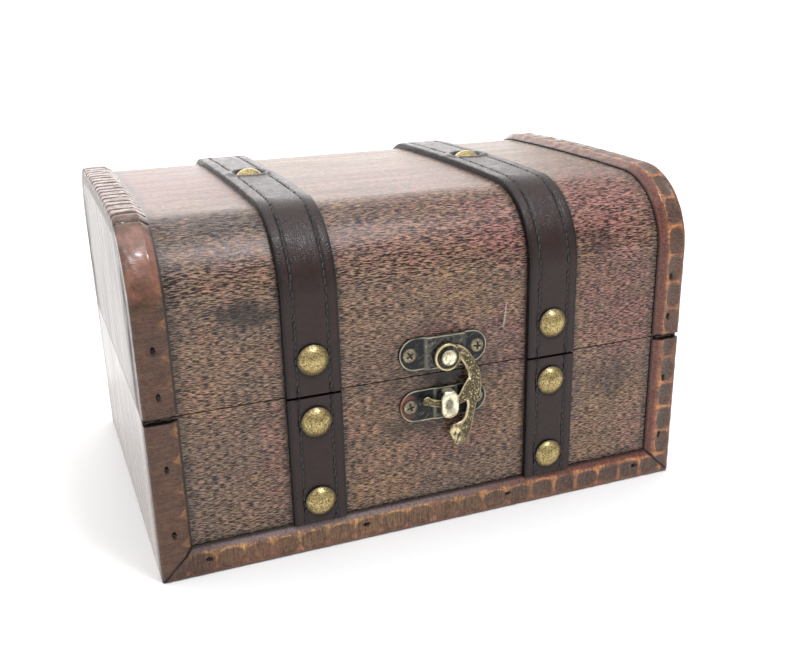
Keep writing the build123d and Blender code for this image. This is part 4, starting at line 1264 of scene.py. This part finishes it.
class CHEST_OT_stage(ChestOperator, bpy.types.Operator):
    """Make the floor, the soft studio light, the camera and the materials"""
    bl_idname = "chest.stage"
    bl_label = "Stage, light and camera"

    def execute(self, context):
        scene = context.scene
        scene.view_settings.view_transform = "Standard"
        light = scene.chest_light
        world = bpy.data.worlds.new("white_surround")
        world.use_nodes = True
        background = world.node_tree.nodes["Background"]
        background.inputs["Color"].default_value = (1.0, 1.0, 1.0, 1.0)
        w = Wiring(world.node_tree)
        seen = w.add("LightPath").outputs["Is Camera Ray"]
        upward = w.vector("DOT_PRODUCT", w.add("TexCoord").outputs["Generated"], (-0.2, 0.4, 0.89), "Value")
        lit = w.step(upward, -0.35, 0.85, light.surround, light.overhead)
        lit = w.times(lit, w.minus(1.0, seen))
        world.node_tree.links.new(w.plus(lit, w.times(seen, 1.05)), background.inputs["Strength"])
        scene.world = world
        floor_mesh = bpy.data.meshes.new("floor")
        corners = ((-1, -1), (1, -1), (1, 1), (-1, 1))
        floor_mesh.from_pydata([(x * FLOOR_HALF, y * FLOOR_HALF, 0) for x, y in corners], [], [(0, 1, 2, 3)])
        floor = bpy.data.objects.new("floor", floor_mesh)
        scene.collection.objects.link(floor)
        w, shader = new_material("pale_floor")
        feed(w, shader, base_color=w.mix(w.noise(w.place(), 6.0), (0.95, 0.95, 0.95), (0.93, 0.93, 0.93)),
             roughness=w.step(w.noise(w.place(), 40.0), 0.0, 1.0, 0.6, 0.7))
        floor_mesh.materials.append(material("pale_floor"))
        sun = bpy.data.lights.new("sky_light", "SUN")
        sun.energy, sun.angle = light.sky, math.radians(70)
        lamps = [(sun, (-0.25, 0.2, 0.95), (0, 0, 0))]
        for name, power, size, tint, place in (
                ("rear_light", light.rear, (1.1, 0.8), (1.0, 0.97, 0.96), (0.12, 1.1, 0.42)),
                ("front_light", light.front, (0.24, 0.14), (0.94, 0.97, 1.0), (0.2, -0.5, 1.15))):
            lamp = bpy.data.lights.new(name, "AREA")
            lamp.shape, lamp.energy, lamp.color = "RECTANGLE", power, tint
            lamp.size, lamp.size_y = size
            lamps.append((lamp, place, (0, 0, 0.06)))
        for lamp, place, target in lamps:
            holder = bpy.data.objects.new(lamp.name, lamp)
            holder.location = place
            holder.rotation_euler = (Vector(place) - Vector(target)).to_track_quat("Z", "Y").to_euler()
            scene.collection.objects.link(holder)
        self.camera(scene)
        build_materials()
        return {"FINISHED"}

    @staticmethod
    def camera(scene):
        """The camera where the photograph was taken from."""
        azimuth, elevation, roll = (math.radians(angle) for angle in CAMERA_ANGLES)
        back = Vector((math.sin(azimuth) * math.cos(elevation), -math.cos(azimuth) * math.cos(elevation),
                       math.sin(elevation)))
        right = Vector((0, 0, 1)).cross(back).normalized()
        up = back.cross(right)
        right, up = (math.cos(roll) * right + math.sin(roll) * up, -math.sin(roll) * right + math.cos(roll) * up)
        lens = bpy.data.cameras.new("photo_camera")
        lens.lens, lens.sensor_width = LENS_LENGTH, 36.0
        lens.shift_x, lens.shift_y = LENS_SHIFT
        holder = bpy.data.objects.new("photo_camera", lens)
        turned = Matrix((right, up, back)).transposed().to_4x4()
        holder.matrix_world = Matrix.Translation(CAMERA_PLACE) @ turned
        scene.collection.objects.link(holder)
        scene.camera = holder


class CHEST_OT_panels(ChestOperator, bpy.types.Operator):
    """Finish the walls of the base and the lid, and bend the lid's plywood"""
    bl_idname = "chest.panels"
    bl_label = "Panels"

    def execute(self, context):
        for _, wall in WALLS:
            finish_node(f"base_{wall}_panel", "stained_plywood")
        for part in ("base", "lid"):
            for _, side in SIDES:
                finish_node(f"{part}_{side}_end_board", "end_board_wood")
        finish_node("base_bottom_board", "bottom_board_wood")
        place_piece(lid_plywood(), "lid_bent_plywood", "lid", material("stained_plywood"),
                    ["lid_plywood_shell"])
        return {"FINISHED"}


class CHEST_OT_mouldings(ChestOperator, bpy.types.Operator):
    """Carve the edge mouldings of the base and the lid"""
    bl_idname = "chest.mouldings"
    bl_label = "Mouldings"

    def execute(self, context):
        for wall, wall_name in WALLS:
            dress(f"base_{wall_name}_sill_trim", sill_moulding(wall), "_carved", "base", "moulding_wood")
            for side, side_name in SIDES:
                dress(f"base_{wall_name}_{side_name}_trim", base_side_moulding(side, wall), "_carved", "base",
                      "moulding_wood")
        for side, side_name in SIDES:
            dress(f"lid_{side_name}_trim", lid_moulding(side), "_carved", "lid", "moulding_wood")
        for body in ("base", "lid"):
            finish_node(f"{body}_trim_brads", "brad_steel")
        return {"FINISHED"}


class CHEST_OT_straps(ChestOperator, bpy.types.Operator):
    """Make the leather straps with their stitching"""
    bl_idname = "chest.straps"
    bl_label = "Straps"

    def execute(self, context):
        total = lid_length()
        for side, side_name in SIDES:
            for wall, wall_name in WALLS:
                node = f"base_{wall_name}_{side_name}_strap"

                def upright(along, across, height, side=side, wall=wall):
                    return np.stack([side * STRAP_X + across, wall * (WALL_Y + height), along], -1)

                self.strap(node, "base", (mm("moulding_width"), high_mm(node, 2)), upright, BASE_NAILS)

            def bent(along, across, height, side=side):
                return over_lid(side * STRAP_X + across, along, height)

            self.strap(f"lid_{side_name}_strap", "lid", (0.45, total - 1.2), bent, (LID_NAIL, total - LID_NAIL),
                       total / 2)
        return {"FINISHED"}

    @staticmethod
    def strap(node, body, ends, spot, nails, sunk=None):
        """One strap's leather and its thread."""
        leather, stitches = strap_piece(ends, spot, nails, sunk)
        dress(node, leather, "_leather", body, "strap_leather")
        name = node + "_stitches"
        place_piece(stitches.mesh(name), name, body, material("stitch_thread"))


class CHEST_OT_nails(ChestOperator, bpy.types.Operator):
    """Make the domed nails of the straps"""
    bl_idname = "chest.nails"
    bl_label = "Domed nails"

    def execute(self, context):
        thick = mm("strap_thickness")
        for body, first_seed, heights in (("base", 101, BASE_NAILS), ("lid", 201, (PARTING + LID_NAIL,))):
            shape, seeds = Shape(), itertools.count(first_seed)
            for side, _ in SIDES:
                for wall, _ in WALLS:
                    for z in heights:
                        nail_shape(shape, wall_place(side * STRAP_X, thick, z, wall), next(seeds))
                if body == "lid":
                    crown = (side * STRAP_X, 0, LID_TOP + thick - CROWN_NAIL_SUNK)
                    nail_shape(shape, Matrix.Translation(crown), next(seeds))
            dress(f"{body}_strap_studs", shape, "_domed", body, "antique_brass")
        return {"FINISHED"}


class CHEST_OT_hinges(ChestOperator, bpy.types.Operator):
    """Finish the hinges, their pins and screws"""
    bl_idname = "chest.hinges"
    bl_label = "Hinges"

    def execute(self, context):
        for _, side in SIDES:
            for leaf in ("base", "lid"):
                finish_node(f"hinge_{side}_{leaf}_leaf", "hinge_brass")
            finish_node(f"hinge_{side}_pin", "brad_steel")
        for body in ("base", "lid"):
            finish_node(f"hinge_{body}_screws", "screw_steel")
        return {"FINISHED"}


# Each latch plate's body and name, the Z of its middle, half the width and the rise of its boss, and its seed
LATCH_PLATES = (("lid", "pivot", 66.2, 6.9, 1.2, 301), ("base", "catch", 47.0, 3.7, 0.6, 311))
RIVET = ((1.5, -0.4), (1.5, 0.0), (2.86, 0.0), (2.9, 0.2), (2.75, 0.5), (2.35, 0.82), (1.8, 1.0), (1.1, 1.08),
         (0.5, 1.1), (0.02, 1.1))


class CHEST_OT_latch(ChestOperator, bpy.types.Operator):
    """Make the latch's plates, screws, loop, rivet and swing hook"""
    bl_idname = "chest.latch"
    bl_label = "Latch"

    def execute(self, context):
        for body, plate, z, boss_half, boss_rise, seed in LATCH_PLATES:
            shape = plate_shape(z, boss_half, boss_rise, seed, rusty=plate == "catch")
            dress(f"latch_{plate}_plate", shape, "_cast", body, "latch_plate_brass")
        for body, plate, z, *_ in LATCH_PLATES:
            shape = Shape()
            for end in (-1, 1):
                screw_shape(shape, wall_place(LATCH_X + end * PLATE_SCREW, PLATE_TOP, z), 0.8 + 0.45 * end + z)
            dress(f"latch_{plate}_plate_screws", shape, "_cross", body, "screw_steel")
        hook = rubbed_edges_and_painted_shade(fused(hook_shape(), "latch_hook_cast"), 341, (HOOK_X, HOOK_Z, 4.3, 4.3, 0.9))
        dress("latch_hook", hook, "_cast", "latch_hook", "hook_brass", sharp_degrees=80)
        rivet = Shape().turned(RIVET, wall_place(HOOK_X, 4.3, HOOK_Z), dents=0.05, seed=331)
        dress("latch_pivot_rivet", rivet, "_head", "lid", "hook_brass", "bright_brass")
        loop = rubbed_edges_and_painted_shade(fused(loop_shape(), "latch_catch_loop_cast", smooth=2), 351,
                         (HOOK_X - 0.4, HOOK_Z - HOOK_REACH, 2.2, 3.1, 0.45))
        dress("latch_catch_loop", loop, "_cast", "base", "hook_brass", "bright_brass", sharp_degrees=80)
        return {"FINISHED"}


class CHEST_PT_panel(bpy.types.Panel):
    """The chest's steps and settings in the 3D view's sidebar"""
    bl_idname = "CHEST_PT_panel"
    bl_label = "Treasure chest box"
    bl_space_type = "VIEW_3D"
    bl_region_type = "UI"
    bl_category = "Chest"

    def draw(self, context):
        column = self.layout.column(align=True)
        for operator in OPERATORS:
            column.operator(operator.bl_idname)
        for settings in (context.scene.chest_sizes, context.scene.chest_colours, context.scene.chest_light):
            box = self.layout.box()
            for name in settings.bl_rna.properties.keys():
                if name not in ("rna_type", "name"):
                    box.prop(settings, name)


OPERATORS = (CHEST_OT_stage, CHEST_OT_panels, CHEST_OT_mouldings, CHEST_OT_straps, CHEST_OT_nails, CHEST_OT_hinges,
             CHEST_OT_latch)
SETTINGS = {"chest_sizes": ChestSizes, "chest_colours": ChestColours, "chest_light": ChestLight}


def register():
    """Registers the settings, the operators and the panel."""
    for made in (*SETTINGS.values(), *OPERATORS, CHEST_PT_panel):
        bpy.utils.register_class(made)
    for name, group in SETTINGS.items():
        setattr(bpy.types.Scene, name, bpy.props.PointerProperty(type=group))


def unregister():
    """Removes what register added."""
    for name in SETTINGS:
        delattr(bpy.types.Scene, name)
    for made in (CHEST_PT_panel, *OPERATORS[::-1], *SETTINGS.values()):
        bpy.utils.unregister_class(made)


def main():
    """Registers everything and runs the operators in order."""
    register()
    bpy.ops.chest.stage()
    bpy.ops.chest.panels()
    bpy.ops.chest.mouldings()
    bpy.ops.chest.straps()
    bpy.ops.chest.nails()
    bpy.ops.chest.hinges()
    bpy.ops.chest.latch()


if __name__ == "__main__":
    main()
